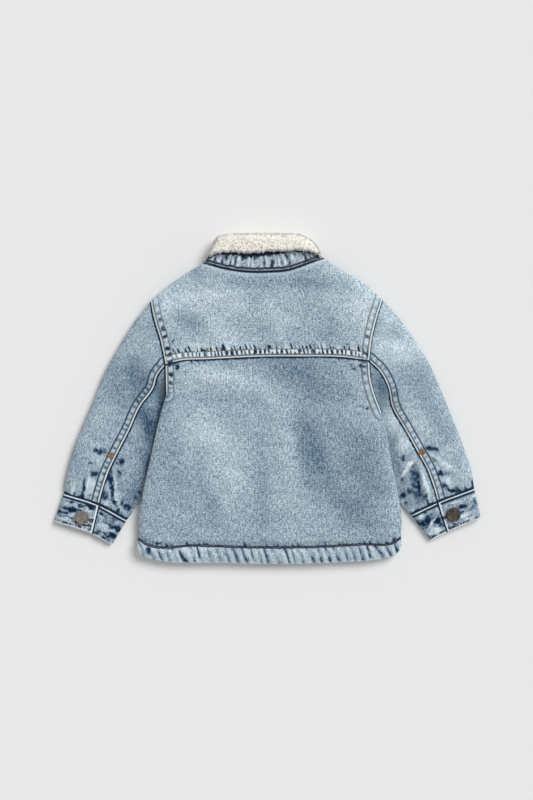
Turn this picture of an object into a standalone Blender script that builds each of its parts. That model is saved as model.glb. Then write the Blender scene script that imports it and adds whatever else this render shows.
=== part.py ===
"""A toddler's denim jacket with a sherpa lining and collar, buttoned and laid on its front.

The jacket lies on z = 0 with its back up, +Y towards the collar and +X towards the wearer's right.
Every cloth piece is a wall between an outer and an inner surface. Both surfaces come from a plan
patch between the piece's seams and edges, and from the height of the cloth over that plan.
Plan tables are in millimetres. Everything that reaches Blender is in metres.
"""

import math
from collections import namedtuple

import bmesh
import bpy
import numpy as np

MM = 0.001

# Cloth and seams, in millimetres
SEAM_GAP = 0.3
FELL_WIDTH = 7.5
FELL_STEP = 1.2
FELL_HEIGHT = 0.8
SHARP_ANGLE = 50.0

# Heights of the laid jacket above the floor, in millimetres
BODY_HEIGHT = 15.3
MIDDLE_HEIGHT = 6.8
LAY_GAP = 0.9
LAY_GAP_REACH = 12.0
EDGE_WALL = 1.6
TOP_ROLL = 15.0
UNDER_ROLL = 9.0
UNDER_EDGE = 3.0
MIDDLE_CARRY_SHARE = 0.75
CARRY_SHARE = 0.35
NECK_CARRY_START_Y = 50.0
NECK_CARRY_LENGTH = 90.0
NECK_PINCH = 1.6
NECK_PINCH_REACH = 10.0

# Sleeves
SLEEVE_HEIGHT = 11.8
SLEEVE_EDGE_LOW = 3.6
SLEEVE_EDGE_THICK = 3.2
SLEEVE_ROLL = 12.0
FOLD_WALL = 2.2
ARMHOLE_BLEND = 50.0
ARMHOLE_DROP = 1.3

# The sleeve's inner edge, which is tucked under the body's side
TUCK_LOW = 0.5
TUCK_THICK = 2.6
TUCK_REACH = 34.0
SIDE_LIFT = 5.8
SIDE_LIFT_REACH = 60.0
LIFT_ABOVE_ARMPIT = 20.0
LIFT_GROWTH = 40.0
LIFT_END_Y = -160.0
LIFT_FADE = 60.0

# Hem
HEM_PINCH = 2.4
HEM_PINCH_REACH = 7.0
HEM_EDGE_DROP = 3.4
HEM_ROLL = 9.0
HEM_MOUTH = 0.9
HEM_WAVES = 31
HEM_WAVE_HEIGHT = 0.9
HEM_WAVE_SLANT = -9.0
COLUMNS_A_WAVE = 4

# Cuffs
CUFF_WALL = 2.0
CUFF_HEIGHT = 8.6
CUFF_EDGE_LOW = 2.2
CUFF_ROLL = 8.0
CUFF_UNDERLAP = 0.22
CUFF_WIDTH = 76.0
CUFF_PINCH = 3.0
CUFF_PINCH_REACH = 18.0

# Collar
FALL_HEIGHT = 20.4
FALL_UNDER = 13.7
FALL_ROLL = 10.0
FALL_LIP = 5.0
LEG_TOP = 9.2
LIP_WALL = 1.8
END_LOW = 10.7
LEG_ROLL = 6.0
LEG_INSET = 0.055
SHERPA_TURN = 7.5
UNDER_COLLAR_WALL = 1.3
BEND = 0.8
STAND_AT_NECK = 15.0
STAND_AT_FALL = 11.6
STAND_WAVES = 17
STAND_WAVE_HEIGHT = 0.7
WING_WALL = 4.0
WING_FLAT_MARGIN = 12.0
WING_FADE = 30.0

# Front closure
PLACKET_HALF = 11.0
PLACKET_WALL = 2.0
PLACKET_STEP = 0.5
FRONT_BUTTONS = 5
FRONT_BUTTON_TOP_Y = 94.0
FRONT_BUTTON_PITCH = 60.0
FRONT_BUTTON_RADIUS = 8.0
FRONT_BUTTON_HEIGHT = 1.6
SHANK_LEAST = 0.2

# Cuff buttons
BUTTON_RADIUS = 8.0
BUTTON_RIM = 1.1
BUTTON_HEAD = 2.6
SHANK_RADIUS = 3.4
SHANK_HEIGHT = 1.5

# Where the points of a panel's grid lie, as distances from its sides
EDGE_STEPS = (0.0, 1.5, FELL_WIDTH, FELL_WIDTH + FELL_STEP, TOP_ROLL)
SEAM_STEPS = (0.0, FELL_WIDTH, FELL_WIDTH + FELL_STEP)

COLLECTION = "sherpa_lined_jacket"

Mark = namedtuple("Mark", "x y")
Section = namedtuple("Section", "outer_x outer_y seam_x seam_y inner_x inner_y")
Fold = namedtuple("Fold", "x y angle length width height")

# Plan of the body. Left is -X, the wearer's left.
SHOULDER = {
    "left": [Mark(-73.0, 156.5), Mark(-96.6, 141.5), Mark(-116.2, 127.7), Mark(-134.0, 112.1)],
    "right": [Mark(64.4, 161.8), Mark(85.1, 147.8), Mark(109.3, 134.0), Mark(132.3, 113.9)],
}
ARMHOLE_ABOVE = {
    "left": [Mark(-134.0, 112.1), Mark(-130.1, 92.8), Mark(-122.5, 67.0), Mark(-116.8, 39.4)],
    "right": [Mark(132.3, 113.9), Mark(125.6, 92.8), Mark(119.6, 67.0), Mark(116.8, 43.6)],
}
ARMHOLE_BELOW = {
    "left": [Mark(-116.8, 39.4), Mark(-116.3, 21.3), Mark(-116.1, 4.6)],
    "right": [Mark(116.8, 43.6), Mark(118.0, 25.0), Mark(123.0, 4.6), Mark(131.1, -16.1)],
}
SIDE = {
    "left": [Mark(-116.1, 4.6), Mark(-123.0, -18.4), Mark(-132.3, -58.7), Mark(-142.3, -104.7),
             Mark(-147.9, -138.0), Mark(-148.9, -160.2)],
    "right": [Mark(131.1, -16.1), Mark(136.4, -35.7), Mark(144.3, -81.7), Mark(151.8, -115.0),
              Mark(154.8, -140.0), Mark(153.8, -158.5)],
}
NECKLINE = [Mark(-73.0, 156.5), Mark(-55.0, 151.2), Mark(-25.3, 146.1), Mark(0.0, 145.8),
            Mark(24.6, 147.9), Mark(49.6, 156.6), Mark(64.4, 161.8)]
YOKE_SEAM = [Mark(-116.8, 39.4), Mark(-100.3, 43.4), Mark(-69.5, 45.0), Mark(-3.5, 48.0),
             Mark(36.5, 48.2), Mark(91.5, 47.0), Mark(116.8, 43.6)]
HEM_SEAM = [Mark(-148.9, -160.2), Mark(-139.0, -166.4), Mark(-80.5, -168.0), Mark(-8.0, -170.3),
            Mark(69.0, -169.0), Mark(110.0, -166.6), Mark(146.0, -164.4), Mark(153.8, -158.5)]
HEM_EDGE = [Mark(-148.9, -172.0), Mark(-144.9, -180.5), Mark(-134.0, -184.0), Mark(-47.5, -188.8),
            Mark(7.5, -190.0), Mark(80.0, -188.3), Mark(135.0, -183.3), Mark(149.0, -179.0),
            Mark(154.0, -170.5)]
FRONT_NECK = {
    "left": [Mark(-73.0, 156.5), Mark(-62.0, 137.0), Mark(-38.0, 117.0), Mark(-2.0, 110.0)],
    "right": [Mark(64.4, 161.8), Mark(55.0, 139.0), Mark(34.0, 117.0), Mark(-2.0, 110.0)],
}

# Plan of the sleeves: where each section crosses the outer edge, the felled seam and the inner edge.
SLEEVE = {
    "left": [
        Section(-134.0, 112.1, -116.8, 39.4, -116.1, 4.6),
        Section(-150.6, 91.0, -126.8, 26.0, -115.8, -9.0),
        Section(-170.8, 58.7, -130.6, 13.5, -112.6, -22.0),
        Section(-186.9, 29.0, -146.5, -9.5, -112.4, -38.0),
        Section(-200.1, -3.5, -158.4, -35.7, -117.8, -60.0),
        Section(-212.3, -32.0, -172.7, -63.4, -126.0, -83.0),
        Section(-224.0, -62.0, -182.5, -84.0, -138.5, -104.7),
        Section(-230.9, -88.0, -189.2, -104.0, -149.0, -121.0),
        Section(-234.6, -109.8, -194.4, -122.9, -162.2, -140.3),
    ],
    "right": [
        Section(132.3, 113.9, 116.8, 43.6, 131.1, -16.1),
        Section(150.0, 94.5, 129.5, 31.0, 129.6, -30.0),
        Section(168.0, 69.5, 138.6, 14.0, 126.4, -43.0),
        Section(187.5, 38.0, 143.6, -8.4, 126.6, -60.0),
        Section(200.9, 7.0, 158.5, -35.7, 129.4, -75.0),
        Section(213.9, -24.2, 173.2, -62.0, 136.4, -92.0),
        Section(226.3, -57.0, 184.1, -81.9, 146.5, -109.0),
        Section(234.9, -83.0, 190.6, -99.4, 157.0, -124.5),
        Section(238.6, -104.0, 196.8, -119.8, 165.6, -134.4),
    ],
}
CUFF_END = {
    "left": Section(-245.6, -141.5, -202.1, -155.6, -178.9, -168.1),
    "right": Section(246.1, -137.3, 207.8, -153.4, 188.3, -163.0),
}
CUFF_BUTTON = {"left": Mark(-212.8, -136.9), "right": Mark(214.2, -133.2)}

# Plan of the collar: the back part lies over the neckline, and the wings lie under the fronts.
COLLAR_FOLD = [Mark(-58.0, 185.6), Mark(-49.0, 188.6), Mark(-25.0, 189.6), Mark(12.0, 189.8),
               Mark(39.0, 188.0), Mark(51.0, 182.0)]
COLLAR_EDGE = [Mark(-69.2, 162.8), Mark(-62.0, 165.5), Mark(-50.0, 168.4), Mark(-25.0, 167.4),
               Mark(12.0, 169.6), Mark(36.8, 170.2), Mark(55.0, 167.0), Mark(64.4, 160.6)]
COLLAR_END = {
    "left": [Mark(-58.0, 185.6), Mark(-62.4, 178.6), Mark(-66.8, 169.0), Mark(-69.2, 162.8)],
    "right": [Mark(51.0, 182.0), Mark(57.2, 175.6), Mark(62.0, 167.6), Mark(64.4, 160.6)],
}
STAND_CORNERS = [Mark(-65.5, 167.5), Mark(57.8, 170.0)]
WING_FOLD = {
    "left": [Mark(-56.0, 149.0), Mark(-46.0, 142.0), Mark(-31.0, 135.0), Mark(-7.0, 127.0)],
    "right": [Mark(51.0, 151.0), Mark(42.0, 143.0), Mark(28.0, 135.0), Mark(4.0, 127.0)],
}
WING_EDGE = {
    "left": [Mark(-75.0, 149.0), Mark(-72.0, 134.0), Mark(-60.0, 104.0), Mark(-34.0, 76.0)],
    "right": [Mark(67.0, 152.0), Mark(66.0, 136.0), Mark(55.0, 104.0), Mark(30.0, 76.0)],
}

# The largest folds of the laid cloth: ridges are above zero and troughs below, angle in degrees.
BODY_FOLDS = [
    Fold(-5.0, 134.0, 2.0, 150.0, 9.0, -1.4),
    Fold(-5.0, 117.0, -2.0, 170.0, 10.0, 0.9),
    Fold(-91.0, 91.0, -22.0, 46.0, 8.0, -1.5),
    Fold(-62.0, 76.0, -58.0, 40.0, 7.0, 0.9),
    Fold(72.0, 88.0, -64.0, 50.0, 11.0, -1.0),
    Fold(-52.0, 21.0, -10.0, 110.0, 12.0, 1.3),
    Fold(-55.0, 0.0, 0.0, 100.0, 8.0, -0.9),
    Fold(38.0, -25.0, -84.0, 120.0, 15.0, -1.2),
    Fold(16.0, -45.0, -88.0, 170.0, 12.0, 1.2),
    Fold(-62.0, -95.0, -70.0, 90.0, 9.0, -0.9),
    Fold(-40.0, -105.0, -68.0, 110.0, 10.0, 1.0),
    Fold(70.0, -110.0, -40.0, 80.0, 12.0, -0.9),
    Fold(109.0, -4.0, 4.0, 44.0, 4.0, -0.9),
    Fold(104.0, -14.0, -14.0, 50.0, 6.0, 0.8),
]
SLEEVE_FOLDS = {
    "left": [
        Fold(-176.0, -101.0, -80.0, 52.0, 4.0, -2.4),
        Fold(-183.5, -104.0, -76.0, 42.0, 4.0, 1.4),
        Fold(-168.0, -112.0, -66.0, 44.0, 4.5, -1.8),
        Fold(-160.0, -98.0, -62.0, 52.0, 7.0, 1.2),
        Fold(-203.0, -92.0, -82.0, 44.0, 4.0, -1.2),
        Fold(-150.0, 20.0, -50.0, 60.0, 9.0, -1.2),
    ],
    "right": [
        Fold(170.0, -90.0, -84.0, 50.0, 5.0, -2.6),
        Fold(179.0, -96.0, -74.0, 54.0, 4.5, 2.0),
        Fold(161.0, -98.0, -64.0, 46.0, 5.0, 1.4),
        Fold(201.0, -84.0, -42.0, 44.0, 4.0, -1.6),
        Fold(207.0, -96.0, -38.0, 36.0, 4.0, 1.2),
        Fold(146.0, 68.0, 18.0, 40.0, 9.0, -1.1),
    ],
}

# Colours as linear red, green and blue, then roughness and metallic
DENIM = ((0.33, 0.42, 0.50), 0.9, 0.0)
DENIM_DARK = ((0.16, 0.22, 0.32), 0.9, 0.0)
SHERPA = ((0.78, 0.74, 0.66), 1.0, 0.0)
METAL = ((0.22, 0.20, 0.18), 0.45, 0.9)


def ease(t):
    """A smooth step from 0 to 1 as t goes from 0 to 1."""
    t = np.clip(t, 0.0, 1.0)
    return t * t * (3.0 - 2.0 * t)


def roll(t):
    """A quarter turn: it leaves 0 upright and reaches 1 level."""
    return np.sqrt(1.0 - (1.0 - np.clip(t, 0.0, 1.0)) ** 2)


def curve(marks, samples=48):
    """A smooth line through plan marks: cubic pieces whose slopes are those of the marks beside them."""
    p = np.array([(m[0], m[1]) for m in marks], float)
    t = np.concatenate([[0.0], np.cumsum(np.linalg.norm(np.diff(p, axis=0), axis=1))])
    step = np.diff(t)[:, None]
    chord = np.diff(p, axis=0) / step
    slope = np.vstack([chord[:1], chord, chord[-1:]])
    before = np.concatenate([step[:1], step])
    after = np.concatenate([step, step[-1:]])
    tangent = (slope[:-1] * after + slope[1:] * before) / (before + after)
    u = np.linspace(0.0, 1.0, samples, endpoint=False)[:, None, None]
    line = (
        (1 + 2 * u) * (1 - u) ** 2 * p[:-1]
        + u * (1 - u) ** 2 * step * tangent[:-1]
        + u * u * (3 - 2 * u) * p[1:]
        + u * u * (u - 1) * step * tangent[1:]
    )
    return np.vstack([line.transpose(1, 0, 2).reshape(-1, 2), p[-1:]])


def joined(*lines):
    """Lines that follow each other, made one."""
    return np.vstack([lines[0], *[line[1:] for line in lines[1:]]])


def spaced(line, shares):
    """The points at these shares of a line's length."""
    length = np.concatenate([[0.0], np.cumsum(np.linalg.norm(np.diff(line, axis=0), axis=1))])
    at = np.asarray(shares) * length[-1]
    return np.stack([np.interp(at, length, line[:, k]) for k in range(line.shape[1])], axis=-1)


def coons(top, bottom, left, right, columns=97, rows=97):
    """A plan patch between four edges. Rows run from top to bottom, and columns from left to right."""
    u = np.linspace(0.0, 1.0, columns)
    v = np.linspace(0.0, 1.0, rows)
    t, b = spaced(top, u)[None], spaced(bottom, u)[None]
    l, r = spaced(left, v)[:, None], spaced(right, v)[:, None]
    u, v = u[None, :, None], v[:, None, None]
    ruled = (1 - v) * t + v * b + (1 - u) * l + u * r
    corners = (1 - v) * ((1 - u) * t[:, :1] + u * t[:, -1:])
    corners = corners + v * ((1 - u) * b[:, :1] + u * b[:, -1:])
    return ruled - corners


def stations(length, near, far, count):
    """Shares of a length: set distances from its start and its end, and even steps between them."""
    squeeze = min(1.0, 0.9 * length / (near[-1] + far[-1]))
    start = np.array(near) * squeeze
    end = length - np.array(far)[::-1] * squeeze
    middle = np.linspace(start[-1], end[0], count + 2)[1:-1]
    return np.concatenate([start, middle, end]) / length


def respaced(grid, near, far, count):
    """A grid whose rows are taken again at set distances from both of their ends."""
    rows = []
    for row in grid:
        length = np.linalg.norm(np.diff(row, axis=0), axis=1).sum()
        rows.append(spaced(row, stations(length, near, far, count)))
    return np.array(rows)


def turned(grid):
    """A grid with rows and columns exchanged."""
    return grid.transpose(1, 0, 2)


def beside_line(line, ends, away, count):
    """Even points along a line without these lengths at its ends, moved this far to its left."""
    length = np.linalg.norm(np.diff(line, axis=0), axis=1).sum()
    points = spaced(line, np.linspace(ends / length, 1.0 - ends / length, count))
    way = np.gradient(points, axis=0)
    way = way / np.linalg.norm(way, axis=1, keepdims=True)
    return points + away * np.stack([-way[:, 1], way[:, 0]], axis=1)


def shrunk(grid, start):
    """A grid whose rows start this much further on, with all their points evenly closer."""
    rows = []
    for row in grid:
        steps = np.linalg.norm(np.diff(row, axis=0), axis=1)
        shares = np.concatenate([[0.0], np.cumsum(steps)]) / steps.sum()
        rows.append(spaced(row, shares + (1.0 - shares) * start / steps.sum()))
    return np.array(rows)


def distance(points, line):
    """How far each plan point is from a line."""
    a, b = line[:-1], line[1:]
    ab = b - a
    ap = points[..., None, :] - a
    along = np.clip((ap * ab).sum(-1) / np.maximum((ab * ab).sum(-1), 1e-12), 0.0, 1.0)
    return np.linalg.norm(ap - along[..., None] * ab, axis=-1).min(-1)


def folds(points, table):
    """The height that a table of folds adds: a bell across each fold, faded out at its ends."""
    total = np.zeros(points.shape[:-1])
    for f in table:
        turn = math.radians(f.angle)
        dx, dy = points[..., 0] - f.x, points[..., 1] - f.y
        along = (dx * math.cos(turn) + dy * math.sin(turn)) / (0.5 * f.length)
        across = (dy * math.cos(turn) - dx * math.sin(turn)) / f.width
        total += f.height * np.exp(-(across**2)) * (1.0 - ease(np.abs(along)))
    return total


EDGE = {
    side: {
        "shoulder": curve(SHOULDER[side]),
        "above": curve(ARMHOLE_ABOVE[side]),
        "below": curve(ARMHOLE_BELOW[side]),
        "side": curve(SIDE[side]),
        "outer": curve([(s.outer_x, s.outer_y) for s in SLEEVE[side]]),
        "seam": curve([(s.seam_x, s.seam_y) for s in SLEEVE[side]]),
        "inner": curve([(s.inner_x, s.inner_y) for s in SLEEVE[side]]),
        "wing_fold": curve(WING_FOLD[side]),
        "wing_edge": curve(WING_EDGE[side]),
        "collar_end": curve(COLLAR_END[side]),
    }
    for side in ("left", "right")
}
YOKE_LINE = curve(YOKE_SEAM)
HEM_LINE = curve(HEM_SEAM)
HEM_OUTLINE = curve(HEM_EDGE)
NECK_LINE = curve(NECKLINE)
FOLD_LINE = curve(COLLAR_FOLD)
FALL_LINE = curve(COLLAR_EDGE)
LEG_LINE = spaced(NECK_LINE, np.linspace(LEG_INSET, 1.0 - LEG_INSET, 97))
FREE_EDGES = {
    side: joined(EDGE[side]["shoulder"], EDGE[side]["outer"]) for side in ("left", "right")
}


def side_lift(points):
    """How high the tucked sleeves carry the sides of the body."""
    carried = np.zeros(points.shape[:-1])
    y = points[..., 1]
    for side in ("left", "right"):
        above = SIDE[side][0].y + LIFT_ABOVE_ARMPIT
        along = ease((above - y) / LIFT_GROWTH) * ease((y - LIFT_END_Y) / LIFT_FADE)
        away = distance(points, EDGE[side]["side"]) / SIDE_LIFT_REACH
        carried = np.maximum(carried, SIDE_LIFT * along * (1.0 - ease(away)))
    return carried


def wing_lift(points):
    """How high the collar's wings carry the fronts that lie over them."""
    carried = np.zeros(points.shape[:-1])
    for side in ("left", "right"):
        shares = np.linspace(0.0, 1.0, 25)
        fold = spaced(EDGE[side]["wing_fold"], shares)
        edge = spaced(EDGE[side]["wing_edge"], shares)
        half = 0.5 * np.linalg.norm(fold[-1] - edge[-1])
        away = distance(points, 0.5 * (fold + edge)) - half - WING_FLAT_MARGIN
        carried = np.maximum(carried, (WING_WALL + SEAM_GAP) * (1.0 - ease(away / WING_FADE)))
    return carried


def neck_lift(points):
    """How high the collar's wings carry the back, which drapes over them in one long slope."""
    return (WING_WALL + SEAM_GAP) * ease((points[..., 1] - NECK_CARRY_START_Y) / NECK_CARRY_LENGTH)


def body_edge(points):
    """Distance from the shoulders and the free sides of the body."""
    lines = [FREE_EDGES["left"], FREE_EDGES["right"], EDGE["left"]["side"], EDGE["right"]["side"]]
    return np.minimum.reduce([distance(points, line) for line in lines])


def body_full(points):
    """The height of the body's back away from its edges."""
    hem = HEM_PINCH * (1.0 - ease(distance(points, HEM_LINE) / HEM_PINCH_REACH))
    neck = NECK_PINCH * (1.0 - ease(distance(points, NECK_LINE) / NECK_PINCH_REACH))
    return BODY_HEIGHT + CARRY_SHARE * (side_lift(points) + neck_lift(points)) - hem - neck


def body_middle(points):
    """The height at which the back and the front lie on each other."""
    return MIDDLE_HEIGHT + MIDDLE_CARRY_SHARE * side_lift(points) + neck_lift(points)


def lay_gap(points):
    """Half the gap between the back and the front: a seam's at the edges, and looser inside."""
    return 0.5 * (SEAM_GAP + (LAY_GAP - SEAM_GAP) * ease(body_edge(points) / LAY_GAP_REACH))


def back_under(points):
    """The inner surface of the body's back."""
    return body_middle(points) + lay_gap(points)


def front_over(points):
    """The inner surface of the body's front."""
    return body_middle(points) - lay_gap(points)


def body_top(points):
    """The outer surface of the body's back."""
    edge = back_under(points) + EDGE_WALL
    full = body_full(points) + folds(points, BODY_FOLDS)
    return edge + (full - edge) * roll(body_edge(points) / TOP_ROLL)


def body_under(points):
    """The outer surface of the body's front, which rests on the floor, the sleeves and the wings."""
    low = np.maximum(side_lift(points), wing_lift(points))
    edge = np.minimum(front_over(points) - EDGE_WALL, low + UNDER_EDGE)
    return low + (edge - low) * (1.0 - roll(body_edge(points) / UNDER_ROLL))


def felled(points, *lines):
    """The step of a felled seam: cloth of double thickness within the seam's width of these lines."""
    near = np.minimum.reduce([distance(points, line) for line in lines])
    return FELL_HEIGHT * (1.0 - ease((near - FELL_WIDTH) / FELL_STEP))


def near_cuff(points, side):
    """How near the cuff's seam these points of a sleeve are: 1 at the seam, 0 past the pinch."""
    return 1.0 - ease(distance(points, cuff_line(side)) / CUFF_PINCH_REACH)


def sleeve_profile(points, side):
    """The sleeve's share of full height, and the low and high sides of the nearer edge."""
    out = distance(points, FREE_EDGES[side])
    tuck = distance(points, EDGE[side]["inner"])
    inner = ease(0.5 + (out - tuck) / TUCK_REACH)
    low = SLEEVE_EDGE_LOW + (TUCK_LOW - SLEEVE_EDGE_LOW) * inner
    thick = SLEEVE_EDGE_THICK + (TUCK_THICK - SLEEVE_EDGE_THICK) * inner
    at_cuff = near_cuff(points, side)
    low = low + (CUFF_EDGE_LOW - low) * at_cuff
    thick = thick + (CUFF_WALL - thick) * at_cuff
    reach = TUCK_REACH + (CUFF_ROLL - TUCK_REACH) * at_cuff
    inner_rise = ease(tuck / reach) + (roll(tuck / reach) - ease(tuck / reach)) * at_cuff
    return roll(out / SLEEVE_ROLL) * inner_rise, low, low + thick, np.minimum(out, tuck)


def sleeve_top(points, side):
    """The outer surface of the sleeve's upper layer."""
    share, _, edge, _ = sleeve_profile(points, side)
    armhole = joined(EDGE[side]["above"], EDGE[side]["below"])
    near_body = 1.0 - ease(distance(points, armhole) / ARMHOLE_BLEND)
    full = SLEEVE_HEIGHT + (BODY_HEIGHT - ARMHOLE_DROP - SLEEVE_HEIGHT) * near_body
    full = full - CUFF_PINCH * near_cuff(points, side) + folds(points, SLEEVE_FOLDS[side])
    return edge + (full - edge) * share


def sleeve_under(points, side):
    """The outer surface of the sleeve's lower layer, flat on the floor but for its rolled edges."""
    _, low, _, near = sleeve_profile(points, side)
    return low * (1.0 - roll(near / UNDER_ROLL))


def sleeve_middle(points, side):
    """The height at which the sleeve's two layers lie on each other."""
    share, low, edge, _ = sleeve_profile(points, side)
    middle = 0.5 * (edge + low)
    return middle + (0.5 * SLEEVE_HEIGHT - middle) * share


def cuff_line(side):
    """The seam between a sleeve and its cuff, from the outer edge to the inner edge."""
    s = SLEEVE[side][-1]
    return curve([(s.outer_x, s.outer_y), (s.seam_x, s.seam_y), (s.inner_x, s.inner_y)])


def cuff_hem(side):
    """The open end of a cuff, from the outer edge to the inner edge."""
    s = CUFF_END[side]
    return curve([(s.outer_x, s.outer_y), (s.seam_x, s.seam_y), (s.inner_x, s.inner_y)])


def material(name, look):
    """A plain material from (colour, roughness, metallic)."""
    made = bpy.data.materials.new(name)
    made.use_nodes = True
    shader = made.node_tree.nodes["Principled BSDF"]
    colour, roughness, metallic = look
    shader.inputs["Base Color"].default_value = (*colour, 1.0)
    shader.inputs["Roughness"].default_value = roughness
    shader.inputs["Metallic"].default_value = metallic
    return made


def place(name, mesh, finish):
    """An object for a mesh, in the jacket's collection."""
    mesh.materials.append(finish)
    made = bpy.data.objects.new(name, mesh)
    bpy.data.collections[COLLECTION].objects.link(made)
    return made


def solid(plan, height):
    """A grid of plan points and their heights as points in metres."""
    return np.concatenate([plan, height[..., None]], axis=-1) * MM


def wall(name, outer, inner, finish):
    """A closed cloth wall lofted between two grids of the same columns.

    The inner grid may have fewer rows than the outer one: it is plain where the outer one is shaped.
    """
    mesh = bmesh.new()
    faces_out = [[mesh.verts.new(p) for p in row] for row in outer]
    faces_in = [[mesh.verts.new(p) for p in row] for row in inner]
    for grid in (faces_out, faces_in):
        for upper, lower in zip(grid[:-1], grid[1:]):
            for k in range(len(upper) - 1):
                mesh.faces.new((upper[k], upper[k + 1], lower[k + 1], lower[k]))
    for end in (0, -1):
        strips = [(faces_out[end], faces_in[end])]
        rim_out = [row[end] for row in faces_out]
        rim_in = [row[end] for row in faces_in]
        if len(rim_out) == len(rim_in):
            strips.append((rim_out, rim_in))
        else:
            mesh.faces.new(rim_out + rim_in[::-1])
        for near, far in strips:
            for k in range(len(near) - 1):
                mesh.faces.new((near[k], near[k + 1], far[k + 1], far[k]))
    bmesh.ops.recalc_face_normals(mesh, faces=mesh.faces)
    data = bpy.data.meshes.new(name)
    mesh.to_mesh(data)
    mesh.free()
    data.shade_smooth()
    data.set_sharp_from_angle(angle=math.radians(SHARP_ANGLE))
    return place(name, data, finish)


def inset(plan, left=0.0, right=0.0, top=0.0, bottom=0.0):
    """A plan grid drawn in from its sides by these distances."""
    grid = plan.copy()
    for rows, near, far in ((grid, left, right), (turned(grid), top, bottom)):
        across = rows[:, -1] - rows[:, 0]
        across = (across / np.linalg.norm(across, axis=-1, keepdims=True))[:, None]
        share = np.linspace(0.0, 1.0, rows.shape[1])[None, :, None]
        rows += across * (near * (1.0 - share) - far * share)
    return grid


def back_yoke(finish):
    """The upper back, from the shoulders and neckline to the felled yoke seam."""
    top = joined(EDGE["left"]["shoulder"][::-1], NECK_LINE, EDGE["right"]["shoulder"])
    plan = coons(top, YOKE_LINE, EDGE["left"]["above"], EDGE["right"]["above"])
    plan = respaced(plan, EDGE_STEPS, EDGE_STEPS, 16)
    plan = turned(respaced(turned(plan), (0.0, 1.5, 6.0, TOP_ROLL), SEAM_STEPS, 5))
    step = felled(plan, YOKE_LINE, EDGE["left"]["above"], EDGE["right"]["above"])
    body_plan = inset(plan, SEAM_GAP / 2, SEAM_GAP / 2, SEAM_GAP / 2, SEAM_GAP / 2)
    top_surface = body_top(plan) + step
    wall("back_yoke", solid(body_plan, top_surface), solid(body_plan, back_under(plan)), finish)


def back_panel(finish):
    """The lower back, from the yoke seam to the hem's stitching."""
    left = joined(EDGE["left"]["below"], EDGE["left"]["side"])
    right = joined(EDGE["right"]["below"], EDGE["right"]["side"])
    plan = coons(YOKE_LINE, HEM_LINE, left, right)
    plan = respaced(plan, EDGE_STEPS, EDGE_STEPS, 18)
    plan = turned(respaced(turned(plan), (0.0, 4.0), (0.0, 3.0, 8.0), 15))
    step = felled(plan, EDGE["left"]["below"], EDGE["right"]["below"])
    drawn = inset(plan, SEAM_GAP / 2, SEAM_GAP / 2, SEAM_GAP / 2, SEAM_GAP / 2)
    wall("back_panel", solid(drawn, body_top(plan) + step), solid(drawn, back_under(plan)), finish)


def hem_profile(plan):
    """Share of the way from the hem's stitching (0) to its folded edge (1), for a grid of rows."""
    share = np.linspace(0.0, 1.0, plan.shape[0])[:, None]
    return np.broadcast_to(share, plan.shape[:2])


def back_hem(finish):
    """The turned hem along the back, drawn into slanting waves by its single row of stitching."""
    columns = HEM_WAVES * COLUMNS_A_WAVE + 1
    left = np.array([HEM_LINE[0], HEM_OUTLINE[0]])
    right = np.array([HEM_LINE[-1], HEM_OUTLINE[-1]])
    plan = coons(HEM_LINE, HEM_OUTLINE, left, right, columns=columns, rows=5)
    share = hem_profile(plan)
    drawn = inset(plan, 0.0, 0.0, SEAM_GAP, 0.0)
    slant = (plan[..., 0] + HEM_WAVE_SLANT * share) * HEM_WAVES / (HEM_LINE[-1, 0] - HEM_LINE[0, 0])
    waves = HEM_WAVE_HEIGHT * np.sin(2.0 * np.pi * slant) * np.sin(np.pi * np.clip(share, 0.0, 0.85))
    from_edge = distance(plan, HEM_OUTLINE)
    drop = HEM_EDGE_DROP * (1.0 - roll(from_edge / HEM_ROLL))
    outer = body_top(plan) + waves - drop
    inner_rows = [0, -1]
    mouth = HEM_MOUTH * share
    inner = back_under(plan) + mouth
    wall("back_hem", solid(drawn, np.maximum(outer, inner + 1.0)), solid(drawn, inner)[inner_rows], finish)


def front_plan(side):
    """The plan of one front, from its side to the closed edge of the placket."""
    edge = EDGE[side]
    lap = PLACKET_HALF if side == "left" else -PLACKET_HALF
    neck = curve([*FRONT_NECK[side][:-1], Mark(lap, FRONT_NECK[side][-1].y)])
    top = joined(edge["shoulder"][::-1], neck)
    side_line = joined(edge["above"], edge["below"], edge["side"])
    order = np.argsort(HEM_OUTLINE[:, 0])
    lap_y = np.interp(lap, HEM_OUTLINE[order, 0], HEM_OUTLINE[order, 1])
    keep = HEM_OUTLINE[:, 0] < lap if side == "left" else HEM_OUTLINE[:, 0] > lap
    hem = HEM_OUTLINE[keep] if side == "left" else HEM_OUTLINE[keep][::-1]
    hem = joined(hem, np.array([hem[-1], (lap, lap_y)]))
    side_line = joined(side_line, np.array([side_line[-1], hem[0]]))
    lap_line = np.array([(lap, neck[-1, 1]), (lap, lap_y)])
    plan = coons(top, hem, side_line, lap_line)
    lap_steps = (0.0, 2.0 * PLACKET_HALF + PLACKET_STEP, 2.0 * PLACKET_HALF + 2.0 * PLACKET_STEP)
    plan = respaced(plan, (0.0, 3.0, TOP_ROLL), lap_steps, 8)
    return turned(respaced(turned(plan), (0.0, 4.0, TOP_ROLL), (0.0, 3.0, 10.0), 26))


def front_button_places():
    """The centres of the front buttons, down the middle of the placket."""
    return [(0.0, FRONT_BUTTON_TOP_Y - FRONT_BUTTON_PITCH * k) for k in range(FRONT_BUTTONS)]


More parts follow.
